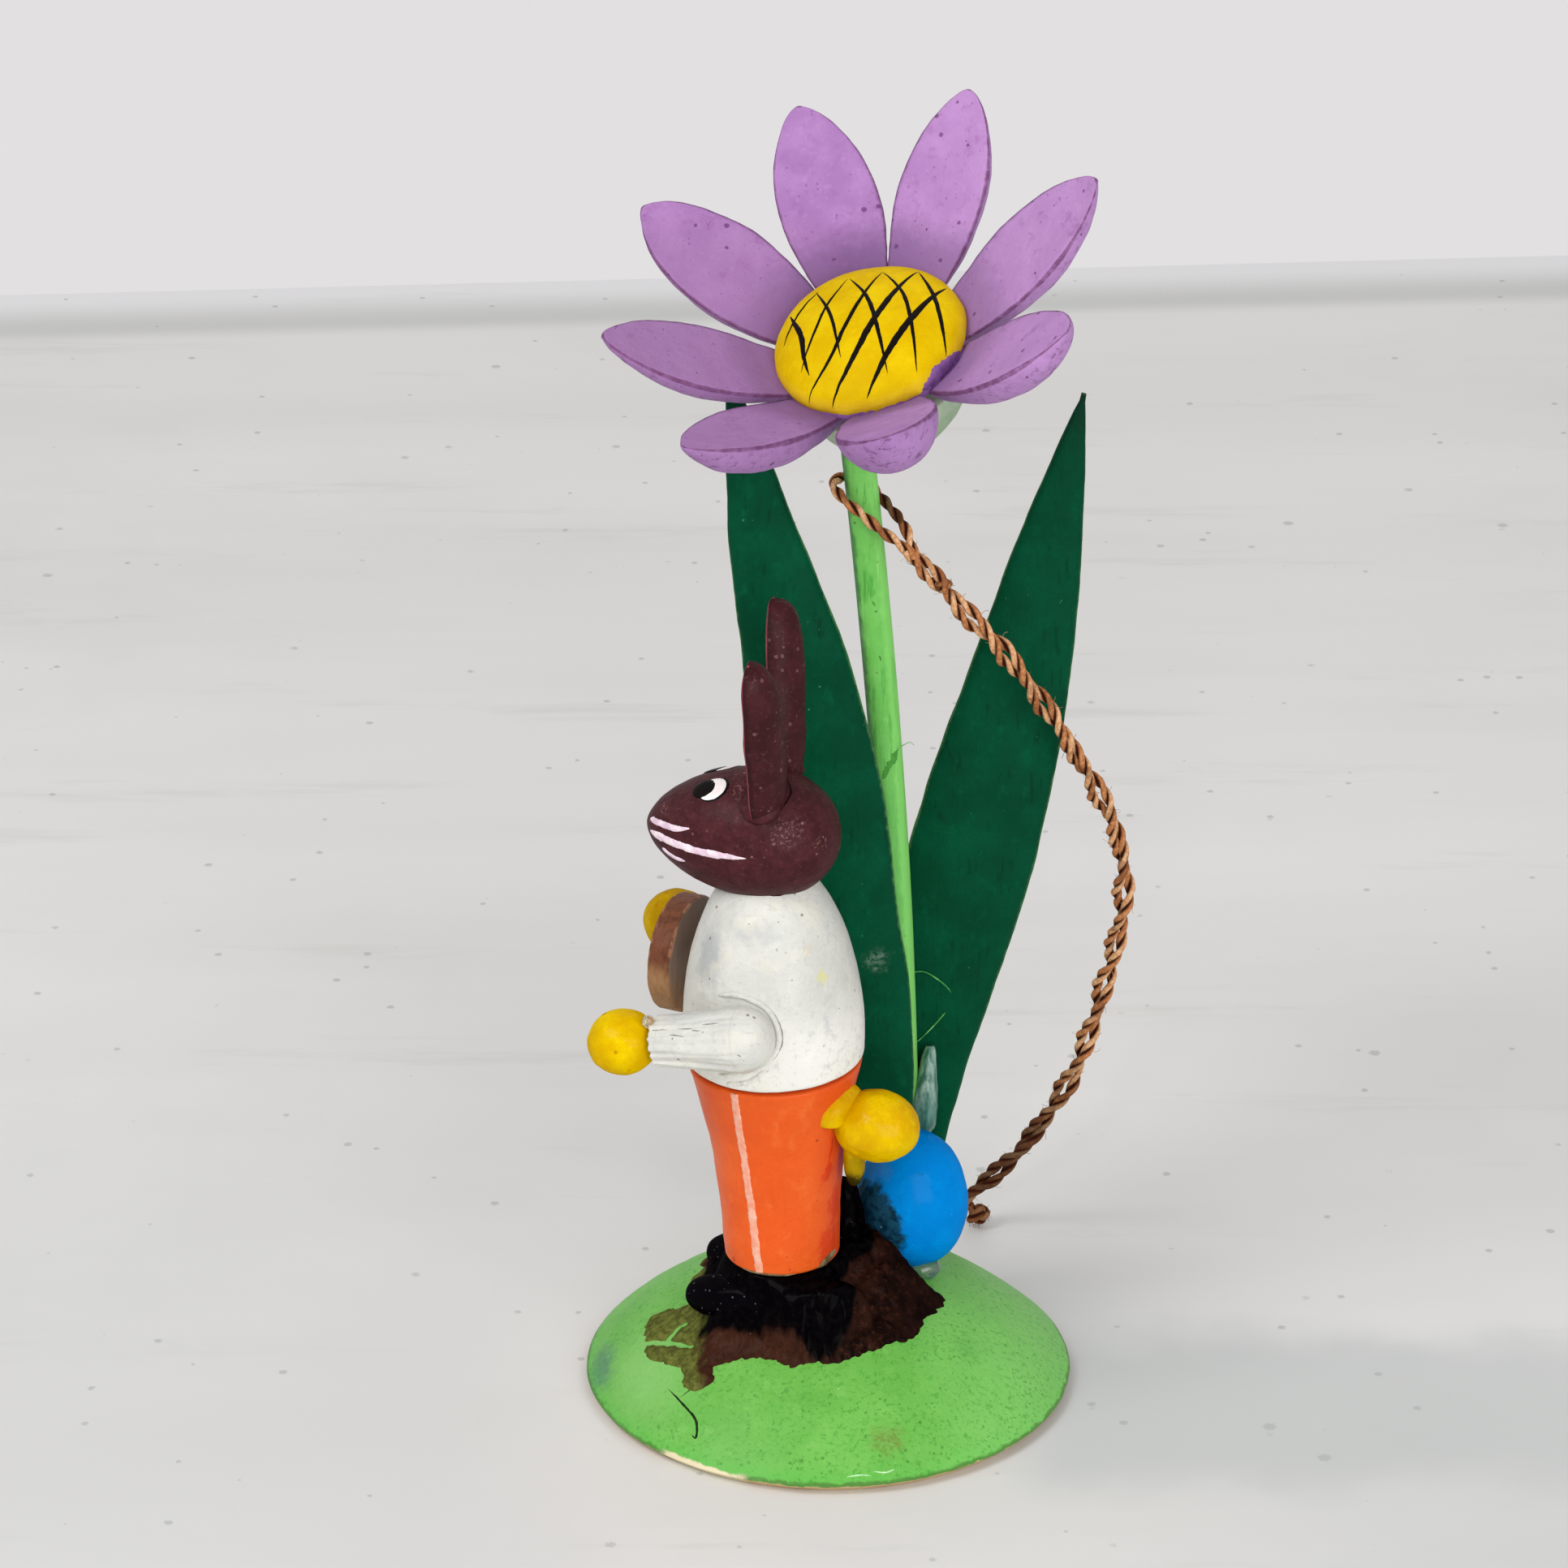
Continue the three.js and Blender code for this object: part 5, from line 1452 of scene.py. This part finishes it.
def makeGlue():
    outline = smoothLine(np.array(glue["outline"] + glue["outline"][:1]), 260)[:-1]
    x, y = np.meshgrid(np.arange(-11.8, 7.8, glue["step"]), np.arange(-9.8, 6.2, glue["step"]),
                       indexing="ij")
    lump, crumb = np.zeros_like(x), np.zeros_like(x)
    for i, k in np.ndindex(x.shape):
        spot = Vector((x[i, k] / 1.5, y[i, k] / 1.5, 3.0))
        lump[i, k] = noise.noise(spot) + 0.5 * noise.noise(spot * 2.3)
        crumb[i, k] = noise.noise(spot * 3.4) + 0.6 * noise.noise(spot * 6.1)
    inside = distanceInside(outline, x, y) + 0.16 * crumb
    for gap in glue["gaps"]:
        inside = np.minimum(inside, distanceToLine(gap, x, y) - 0.16 - 0.08 * crumb)
    thin = np.clip((-6.7 - x + 0.8 * lump) / 1.9, 0, 1)
    rise = np.clip(inside / 0.5, -1, 1)
    film = np.sqrt(np.clip(rise, 0, 1)) * (1 - 0.5 * thin) * (
        glue["thick"] + 0.02 + 0.2 * np.clip(lump, -1, 1) * (1 - thin))

    # Higher round the shoes and towards the mound behind the heels
    ground = domeTop(x, y)
    points = np.stack([x, y, ground + 1.5], -1).reshape(-1, 3)
    own = carried(rabbit.inverted(), points).reshape(*x.shape, 3)
    ahead, aside = own[..., 0], own[..., 1]
    offShoe = np.minimum(*(np.hypot(np.maximum(np.abs(ahead + back) - 3.65, 0), aside - side)
                           - 1.65 for back, side in ((0, -2.6), (1.1, 2.6))))
    skirt = glue["skirt"] * np.exp(-np.maximum(offShoe, 0) / 0.8)
    away = np.hypot(x - glue["mound"][0], y - glue["mound"][1]) + 0.12 * crumb
    bank = np.minimum(glue["bank"] * np.clip(1 - (away / glue["bankReach"]) ** 2, 0, 1),
                      1.7 * np.clip(inside, 0, 9) ** 0.8) * easeUp(x, -1.5, 1.5)
    high = easeUp(inside, 0.0, 1.6) * np.maximum(skirt * (1 - thin), bank)
    z = ground + np.where(rise > 0, film + high * (1 + 0.18 * lump + 0.07 * crumb), rise * 0.3)
    reach = away / (glue["moundWidth"] / 2)
    mound = glue["moundHeight"] * np.clip(1 - reach ** glue["moundBlunt"], 0, 1) ** (
        1 / glue["moundBlunt"]) * (1 + 0.05 * lump)
    z = np.maximum(z, ground + np.where(reach < 1, mound, -1))
    # It buries the heel of the near shoe
    offHeel = np.hypot(np.maximum(np.abs(ahead - glue["heel"][0]) - glue["heelHalf"], 0),
                       aside - glue["heel"][1]) / glue["heelWidth"] + 0.06 * lump
    tilt = glue["lean"] * (x - rabbit.translation.x)
    buried = rabbit.translation.z + tilt + glue["heelRise"] * np.sqrt(
        np.clip(1 - offHeel ** 2, 0, 1))
    z = np.where(offHeel < 1, z + (np.maximum(z, buried) - z) * easeUp(inside, 0.0, 1.5), z)
    # Glue fills the room between the shoes up to the hem
    full = 1 - easeUp(np.hypot(ahead, aside) + 0.12 * lump, glue["hemRadius"],
                      glue["hemRadius"] + 1.25)
    z = np.maximum(z, z + (glue["hem"] + tilt - z) * full)
    # Black near the shoes and the mound; between the shoes and up to the hem it is partly glue,
    # partly a painted shadow
    black = np.clip(np.maximum(1.1 - offShoe / 0.9 + 0.1 * lump, np.maximum(
        full * 1.5, 1.6 - reach)), 0, 1)

    keep = (inside > -0.25) | (reach < 1) | (full > 0.02)
    number = np.full(x.shape, -1)
    number[keep] = np.arange(keep.sum())
    quads = np.stack([number[:-1, :-1], number[1:, :-1], number[1:, 1:], number[:-1, 1:]], -1)
    faces = quads.reshape(-1, 4)
    skin = np.stack([x[keep], y[keep], z[keep]], 1), faces[(faces >= 0).all(1)].tolist()
    piece = makePiece("gluePatch", skin, glueFinish(), ["glue_patch"],
                      closed=False)
    storeValue(piece, "thin", thin[keep])
    storeValue(piece, "black", black[keep])


makeGlue()


# Clear glue: the bead under the egg, the run by the leaf and a small drop on the cuff
def clearFinish(name, deep, pale):
    make = Finish(name, 0.1, coatWeight=0.5, coatRough=0.04, relief=0.08)
    cloud = make.noise(1.1, 4.0, 0.6)
    make.colour = make.wires.between(cloud, 0.35, 0.7, deep, pale)
    make.shader.inputs["Transmission Weight"].default_value = 0.9
    make.shader.inputs["IOR"].default_value = 1.45
    return make.finish(cloud)


def milkyFinish():
    make = Finish("milkyGlue", 0.4, coatWeight=0.1, coatRough=0.2, relief=0.06, specular=0.2)
    w = make.wires
    streaks = w.noise(w.stretch(make.mm, 2.2, 2.2, 0.5), 1.0, 4.0, 0.6)
    make.colour = w.between(streaks, 0.35, 0.65, (40, 96, 84), (84, 136, 126))
    make.over(w.band(make.z, 13.5, 16.5),
              w.between(streaks, 0.38, 0.62, (60, 110, 92), (148, 178, 164)))
    return make.finish(streaks)


def blob(size, seed, bluntness=2.0):
    points, faces = ringSkin(bean(*(c / 2 for c in size), bluntness, 36, 26))
    for i, point in enumerate(points):
        points[i] = point * (1 + 0.16 * noise.noise(Vector(point / 0.9) + Vector((seed, 0, 0))))
    return points, faces


def makeDrops():
    egg = {"place": (5.85, 0.75), "lift": 0.45, "size": (2.1, 1.7, 1.35)}
    run = {"place": (6.0, 8.15, 15.3), "size": (2.0, 3.2, 6.4), "lean": 6}
    cuff = {"place": (-10.85, -7.3, 28.15), "size": (0.8, 0.7, 0.8)}
    makePiece("eggBead", blob(egg["size"], 4.0),
              clearFinish("clearGlue", (190, 222, 196), (226, 240, 222)),
              ["egg_glue"], move(*egg["place"], float(domeTop(*egg["place"])) + egg["lift"]))
    points, faces = blob(run["size"], 9.0, 3.0)
    points[:, :2] *= (0.55 + 0.45 * np.clip((1.8 - points[:, 2]) / 3.2, 0, 1))[:, None]
    makePiece("leafRun", (points, faces), milkyFinish(), ["leaf_glue"],
              move(*run["place"]) @ turn("Y", run["lean"]))
    makePiece("cuffDrop", blob(cuff["size"], 2.0),
              clearFinish("cuffGlue", (232, 220, 190), (246, 242, 230)), (),
              move(*cuff["place"]))


makeDrops()


# Fine fibres that stuck to the paint
def fibre(line, radius, around=8, count=60):
    spine = smoothLine(line, count)
    rings = []
    for i, point in enumerate(spine):
        run = unitVector(spine[min(i + 1, count - 1)] - spine[max(i - 1, 0)])
        side = unitVector(np.cross(run, (0.0, 1.0, 0.05)))
        above = np.cross(run, side)
        fade = radius * (0.35 + 0.65 * sin(pi * max(0.02, i / (count - 1))) ** 0.5)
        rings.append([point + fade * (side * cos(a) + above * sin(a)) for a in angles(around)])
    return ringSkin(rings)


def fibreFinish():
    make = Finish("fibre", 0.6, specular=0.1)
    make.colour = make.wires.between(make.noise(1.2, 2.0), 0.4, 0.6, (60, 140, 70),
                                     (120, 190, 110))
    return make.finish()


makePiece("threads", together([
    fibre([(5.2, 9.25, 23.1), (5.9, 9.1, 23.2), (6.7, 9.15, 22.7), (7.5, 9.2, 21.9),
           (7.75, 9.25, 21.2), (7.1, 9.2, 20.1), (5.9, 9.1, 18.7), (5.5, 9.1, 18.3)], 0.06),
    fibre([(4.1, 7.2, 39.3), (4.55, 7.0, 39.7), (4.9, 6.9, 39.9), (5.15, 6.9, 39.7)], 0.03)]),
    fibreFinish())


# Painted strokes, raised a little over what they are painted on
def strokeFinish(name, main, deep, rough=0.4):
    make = Finish(name, rough, relief=0.05, specular=0.04)
    make.paint(main, deep, main, 1.4)
    return make.finish()


blackStroke = strokeFinish("blackStroke", (8, 5, 6), (20, 15, 14), 0.35)
bothSides = [np.array([1, side, 1]) for side in (1, -1)]


def makeEyes():
    across, upward = np.array([0.96, -0.17, 0.2]), np.array([0.13, 0.93, 0.35])

    def discs(*facts):
        sheets = []
        for flip in bothSides:
            for centre, (wide, tall), height, seed, rag in facts:
                outline = [np.array(centre) + across * wide * cos(a) + upward * tall * sin(a)
                           for a in angles(24)]
                sheets.append(patchSheet(headTree, spotOn(head, centre * flip),
                                         carried(head, np.array(outline) * flip), height, seed,
                                         rag=rag))
        return sheets

    makeStrokes("eyeBlack", discs(((-2.80, -1.44, 3.24), (1.04, 1.10), 0.03, 1.0, 0.03),
                                  ((-3.40, -1.30, 3.11), (0.84, 0.80), 0.085, 6.0, 0.05)),
                blackStroke)
    makeStrokes("eyeWhite", discs(((-2.87, -1.42, 3.24), (0.95, 1.0), 0.055, 3.0, 0.02)),
                strokeFinish("whiteStroke", (248, 243, 240), (240, 232, 228)))


makeEyes()


def makeWhiskers():
    rows = [
        ([(-6.91, -0.91, 0.60), (-5.77, -2.02, 0.84), (-4.82, -2.61, 0.96),
          (-3.89, -2.96, 1.23)], 0.21),
        ([(-6.84, -1.17, -0.06), (-5.24, -2.54, 0.05), (-3.48, -3.37, 0.03),
          (-1.85, -3.77, 0.07), (-0.21, -3.92, 0.12)], 0.27),
        ([(-5.87, -1.99, -0.70), (-5.03, -2.47, -0.96), (-4.21, -2.91, -0.96)], 0.19)]
    sheets = []
    for flip in bothSides:
        sheets += strokeRows(headTree, head, [(line * flip, half) for line, half in rows], 0.06,
                             1.0, 2.0 + flip[1], taper=(0.12, 0.3))
    makeStrokes("whiskers", sheets, strokeFinish(
        "whiskerStroke", (250, 236, 240), (216, 188, 206)))


makeWhiskers()


def makeHatching():
    rows = [
        ([(4.93, 2.12, 0.70), (3.34, -0.23, 1.78), (1.68, -2.58, 1.83), (-0.34, -5.42, 0.60)],
         0.24),
        ([(3.38, 3.81, 0.91), (1.96, 1.58, 1.94), (0.65, -0.61, 2.15), (-0.81, -3.05, 1.82),
          (-2.43, -5.05, 0.20)], 0.22),
        ([(1.36, 4.05, 1.42), (0.15, 1.82, 2.08), (-1.05, -0.48, 2.13), (-2.18, -2.56, 1.77),
          (-3.79, -4.17, 0.09)], 0.15),
        ([(-0.74, 4.13, 1.45), (-2.06, 1.83, 1.90), (-3.15, -0.56, 1.81),
          (-4.06, -2.62, 1.11)], 0.10),
        ([(-2.57, 3.67, 1.34), (-4.09, 2.00, 1.31), (-4.99, -0.02, 0.98)], 0.09),
        ([(-2.76, 3.73, 1.27), (-1.92, 1.01, 2.01), (-1.64, -1.26, 2.03),
          (-1.51, -2.76, 1.82)], 0.12),
        ([(-0.65, 4.07, 1.47), (0.45, 1.48, 2.10), (0.93, -1.70, 2.06), (1.12, -4.45, 1.30)],
         0.14),
        ([(1.36, 4.05, 1.42), (2.55, 1.48, 1.86), (2.91, -1.98, 1.71), (2.74, -4.46, 0.80)],
         0.13),
        ([(3.38, 3.81, 0.91), (4.30, 1.00, 1.36), (4.57, -1.50, 1.14), (4.41, -3.29, 0.41)],
         0.15),
        ([(-4.47, 2.56, 0.88), (-3.80, -0.14, 1.60), (-3.77, -1.75, 1.46),
          (-3.59, -3.06, 1.20)], 0.2)]
    makeStrokes("hatching", strokeRows(beadTree, flower, rows, 0.05, 1.7, 3, rag=0.1,
                                       taper=(0.35, 0.4)), blackStroke)


makeHatching()


# Petal paint and glue squeezed up round the bead's near rim
def makeCollar():
    radius, drop, turns = 5.6, -0.35, (-50, -30, -10, 10, 30, 50, 72)
    line = [(radius * sin(radians(a)), -radius * cos(radians(a)), drop) for a in turns]
    wide = [(2.7, -4.9, 0.0), (3.6, -4.3, 0.1), (4.4, -3.5, 0.12), (5.1, -2.4, -0.05)]
    makeStrokes("beadCollar", [
        strokeSheet(beadTree, carried(flower, line), 0.45, 0.22, 12.0, rag=0.35,
                    taper=(0.3, 0.12)),
        strokeSheet(beadTree, carried(flower, wide), 0.55, 0.18, 4.0, rag=0.4,
                    taper=(0.4, 0.4))],
        strokeFinish("collarStroke", (132, 92, 150), (104, 66, 120), 0.6))


makeCollar()


def makeStripes():
    line = [(-0.26, -5.3, 16.3), (-0.27, -5.21, 15.87), (-0.34, -4.51, 12.86),
            (-0.26, -4.01, 9.85), (-0.12, -3.67, 6.35), (0.07, -3.51, 3.32), (0.1, -3.5, 2.9)]
    makeStrokes("stripes", [
        strokeSheet(trouserTree, carried(rabbit, line * flip), 0.29, 0.05, 5.0 + flip[1],
                    rag=0.14, taper=(0.01, 0.01)) for flip in bothSides],
        strokeFinish("pinkStroke", (242, 194, 176), (238, 154, 124)))


makeStripes()


# Cracks, drips and stains that have an outline of their own, and painted glints and highlights
def makeMarks():
    here = Matrix()
    crack = [(-9.78, -7.54, 3.07), (-8.87, -8.99, 2.83), (-8.07, -10.34, 2.43),
             (-8.11, -11.20, 1.79), (-8.36, -10.93, 1.86)]
    branch = [(-9.0, -8.4, 2.9), (-8.2, -8.1, 3.3), (-7.6, -7.8, 3.6)]
    makeStrokes("cracks", [
        strokeSheet(baseTree, crack, 0.09, 0.012, 1.0, rag=0.3, taper=(0.4, 0.1)),
        strokeSheet(baseTree, branch, 0.04, 0.012, 4.0, rag=0.3, taper=(0.4, 0.4))],
        strokeFinish("crackStroke", (30, 52, 20), (20, 34, 14), 0.6))
    makeStrokes("rimGlints", strokeRows(baseTree, here, [
        ([(1.0, -14.5, 1.0), (1.8, -14.4, 1.1), (2.5, -14.35, 1.0)], 0.05),
        ([(2.6, -14.2, 1.25), (3.4, -14.1, 1.1), (3.9, -13.9, 1.2)], 0.05)], 0.02, 4.0, 0.0,
        rag=0.5), strokeFinish("paleStroke", (206, 240, 196), (170, 220, 160), 0.2))
    makeStrokes("stemMarks", strokeRows(surfaceOf(stem), here, [
        ([(4.5, 7.3, 39.3), (4.1, 7.15, 38.9), (3.6, 7.1, 38.2), (3.25, 7.2, 37.3)], 0.26),
        ([(2.55, 7.3, 49.2), (2.7, 7.3, 48.8)], 0.09),
        ([(3.0, 7.2, 45.6), (3.1, 7.2, 45.2)], 0.08)], 0.01, 5.0, 2.0, rag=0.6),
        strokeFinish("greenStroke", (90, 160, 72), (66, 134, 54), 0.5))
    makeStrokes("drips", strokeRows(trouserTree, rabbit, [
        ([(4.22, -1.15, 12.08), (4.0, -1.17, 10.9), (3.85, -1.2, 10.1)], 0.14),
        ([(3.85, -1.2, 10.3), (3.82, -1.15, 9.6), (3.73, -1.23, 9.0)], 0.34)], 0.03, 4.0, 2.0,
        rag=0.3), strokeFinish("dripStroke", (220, 74, 34), (204, 58, 24)))
    hem = [(3.1, -1.6, 3.0), (3.35, -1.1, 3.15), (3.5, -0.5, 3.35), (3.55, 0.2, 3.5)]
    # The thin lip under the hem is glue, with a painted highlight along it
    lip = [(-1.2, -3.3, 3.02), (-0.2, -3.5, 3.0), (1.0, -3.35, 2.98), (2.2, -2.7, 2.96)]
    makeStrokes("hemBlob", [
        strokeSheet(trouserTree, carried(rabbit, hem), 0.27, 0.12, 2.0, rag=0.3),
        strokeSheet(trouserTree, carried(rabbit, lip), 0.08, 0.1, 6.0, rag=0.3)],
        strokeFinish("creamStroke", (150, 128, 96), (92, 72, 48), 0.35))

    root = [(0.72, -2.77, 2.66), (1.54, -2.30, 2.87), (1.85, -1.20, 3.34), (1.21, 0.01, 3.80)]
    neck = [(1.0, -2.7, 28.55), (1.7, -2.45, 28.5), (2.3, -1.9, 28.5)]
    makeStrokes("furCracks", [
        strokeSheet(headTree, carried(head, root), 0.06, 0.03, 8.0, rag=0.5),
        strokeSheet(torsoTree, carried(rabbit, neck), 0.07, 0.02, 3.0, rag=0.5)],
        strokeFinish("furCrack", (34, 12, 14), (22, 8, 10), 0.6))
    makeStrokes("earRoots", [placedBean(head @ move(0.42, 2.85 * side, 3.0) @ turn(
        "X", 41 * side), 1.22, 0.46, 1.0, around=60, count=40) for side in (1, -1)],
        furPaint)


makeMarks()


# Fillets of painted glue where the sleeve meets the torso, and painted shadow lines beside them
def makeFillets():
    lines = [
        ([(-1.2, -5.0, 22.45), (-0.20, -5.1, 22.72), (1.07, -5.06, 22.56),
          (1.97, -4.90, 22.0), (2.52, -4.80, 21.0), (2.63, -4.84, 19.9),
          (2.2, -5.05, 18.9), (1.3, -5.32, 18.15), (0.07, -5.44, 17.6),
          (-1.15, -5.31, 17.3)], 0.2, 0.24),
        ([(1.9, -5.1, 18.1), (0.9, -5.37, 17.25), (-0.62, -5.36, 16.8)], 0.17, 0.2)]
    makeStrokes("sleeveFillets", [
        strokeSheet(torsoTree, carried(rabbit, line * flip), half, height, 4.0 + i, rag=0.08,
                    taper=(0.1, 0.1))
        for flip in bothSides for i, (line, half, height) in enumerate(lines)],
        shirt)
    shadows = [strokeSheet(torsoTree, carried(rabbit, (np.array(line) * (1.08, 1, 1)
                                                       + (0.04, 0, 0)) * flip),
                           0.045, 0.012, 9.0 + i, rag=0.6)
               for flip in bothSides for i, (line, _, _) in enumerate(lines)]
    # Grey lines on the sleeve
    shadows += strokeRows(sleeveTree, rabbit, [(line, 0.04) for line in (
        [(-2.5, -7.9, 21.3), (-1.7, -7.9, 21.4), (-0.8, -7.9, 21.5)],
        [(-4.6, -7.8, 20.9), (-3.8, -7.9, 20.9), (-3.1, -7.9, 21.0)],
        [(-1.0, -7.8, 21.9), (-0.4, -7.7, 22.0), (0.1, -7.6, 22.1)],
        [(-2.9, -8.1, 20.8), (-2.3, -8.2, 20.9), (-1.7, -8.2, 20.95)],
        [(1.3, -7.4, 20.6), (1.5, -7.4, 20.4)])], 0.012, 2.0, 0.0, rag=0.6)
    makeStrokes("greyLines", shadows,
                strokeFinish("greyStroke", (150, 150, 148), (112, 108, 106), 0.6))


makeFillets()
print("glue and strokes")


# Floor, lights and surroundings
def floorFinish(slant):
    make = Finish("floorPaint", 0.8, specular=0.05)
    w = make.wires
    streaks = w.noise(w.stretch(make.mm, 0.004, 0.03, 0.03), 1.0, 4.0, 0.6)
    make.colour = w.between(streaks, 0.35, 0.7, (225, 223, 221), (219, 217, 214))
    make.over(make.cloud(0.45, 0.75, 0.02, 5.0, 0.65), (212, 211, 207), 0.5)
    back = w.minus(make.y, w.times(make.x, slant))
    # Painted shadow: a darker band where the floor meets the wall
    make.over(w.band(back, 175.4, 178.6), (178, 179, 176), 0.47)
    make.over(w.band(back, 178.9, 185.6), (230, 228, 229))
    # Soft shade beside the base
    near = w.band(w.vector("LENGTH", make.mm), 150.0, 60.0)
    wavy = w.plus(make.y, w.times(make.noise(0.09, 3.0), 9.0))
    ended = w.times(w.band(wavy, -13.0, -5.0), w.band(make.x, 70.0, 36.0, 0.3))
    for across, along, hem, share in (
            ((0.0, 50.0), (24.0, -26.0), near, 0.55), ((-6.0, -26.0), (74.0, 4.0), near, 0.4),
            ((8.0, 15.0), (12.0, 5.0), ended, 0.75)):
        shade = w.times(w.band(make.x, *across), w.band(wavy, *along))
        make.over(shade, (192, 194, 193), share, hem)
    smears = w.noise(w.stretch(make.mm, 0.02, 0.16, 0.1), 1.0, 6.0, 0.7)
    make.over(w.band(smears, 0.56, 0.7), (200, 200, 195), 0.4)
    make.dots(0.3, 0.12, 0.16, (170, 170, 164), 0.55)
    make.dots(0.5, 0.13, 0.3, (160, 161, 160), 0.5)
    return make.finish()


def makeStage():
    near, far, half, slant = -2.0, 0.187, 2.0, 0.07
    points = [(x, y + slant * x, 0) for x, y in (
        (-half, near), (half, near), (half, far), (-half, far))]
    mesh = bpy.data.meshes.new("floor")
    mesh.from_pydata(points, [], [(0, 1, 2, 3)])
    mesh.materials.append(floorFinish(slant))
    floor = bpy.data.objects.new("floor", mesh)
    scene.collection.objects.link(floor)


def addLight(name, place, aim, size, power):
    lamp = bpy.data.lights.new(name, "AREA")
    lamp.shape = "SQUARE"
    lamp.size = size
    lamp.energy = power
    holder = bpy.data.objects.new(name, lamp)
    holder.location = place
    holder.rotation_euler = (Vector(aim) - Vector(place)).to_track_quat("-Z", "Y").to_euler()
    scene.collection.objects.link(holder)


makeStage()
addLight("keyLight", (-0.33, -0.2, 0.46), (0, 0, 0.03), 0.3, 1.65)
addLight("fillLight", (0.2, -0.48, 0.22), (0, 0, 0.03), 0.4, 1.8)
addLight("glintLight", (-0.06, -0.5, 0.42), (0, 0, 0.03), 0.05, 0.22)
addLight("backLight", (0.1, 0.5, 0.5), (0, 0, 0.04), 0.5, 0.6)


# A plain room lights the object; the wall behind it is seen, mirrored and looked at through glue
def makeWorld():
    world = bpy.data.worlds.new("room")
    world.use_nodes = True
    tree = world.node_tree
    tree.nodes.clear()
    w = Wires(tree)
    room = w.node("ShaderNodeBackground", {0: (0.86, 0.87, 0.88, 1), 1: 0.5}).outputs[0]
    wall = w.node("ShaderNodeBackground", {0: tone(226, 224, 225), 1: 1.0}).outputs[0]
    path = w.node("ShaderNodeLightPath").outputs
    seen = w.math("MAXIMUM", path["Is Camera Ray"], w.math(
        "MAXIMUM", path["Is Glossy Ray"], path["Is Transmission Ray"]))
    both = w.node("ShaderNodeMixShader", {0: seen, 1: room, 2: wall}).outputs[0]
    w.node("ShaderNodeOutputWorld", {0: both})
    scene.world = world


makeWorld()
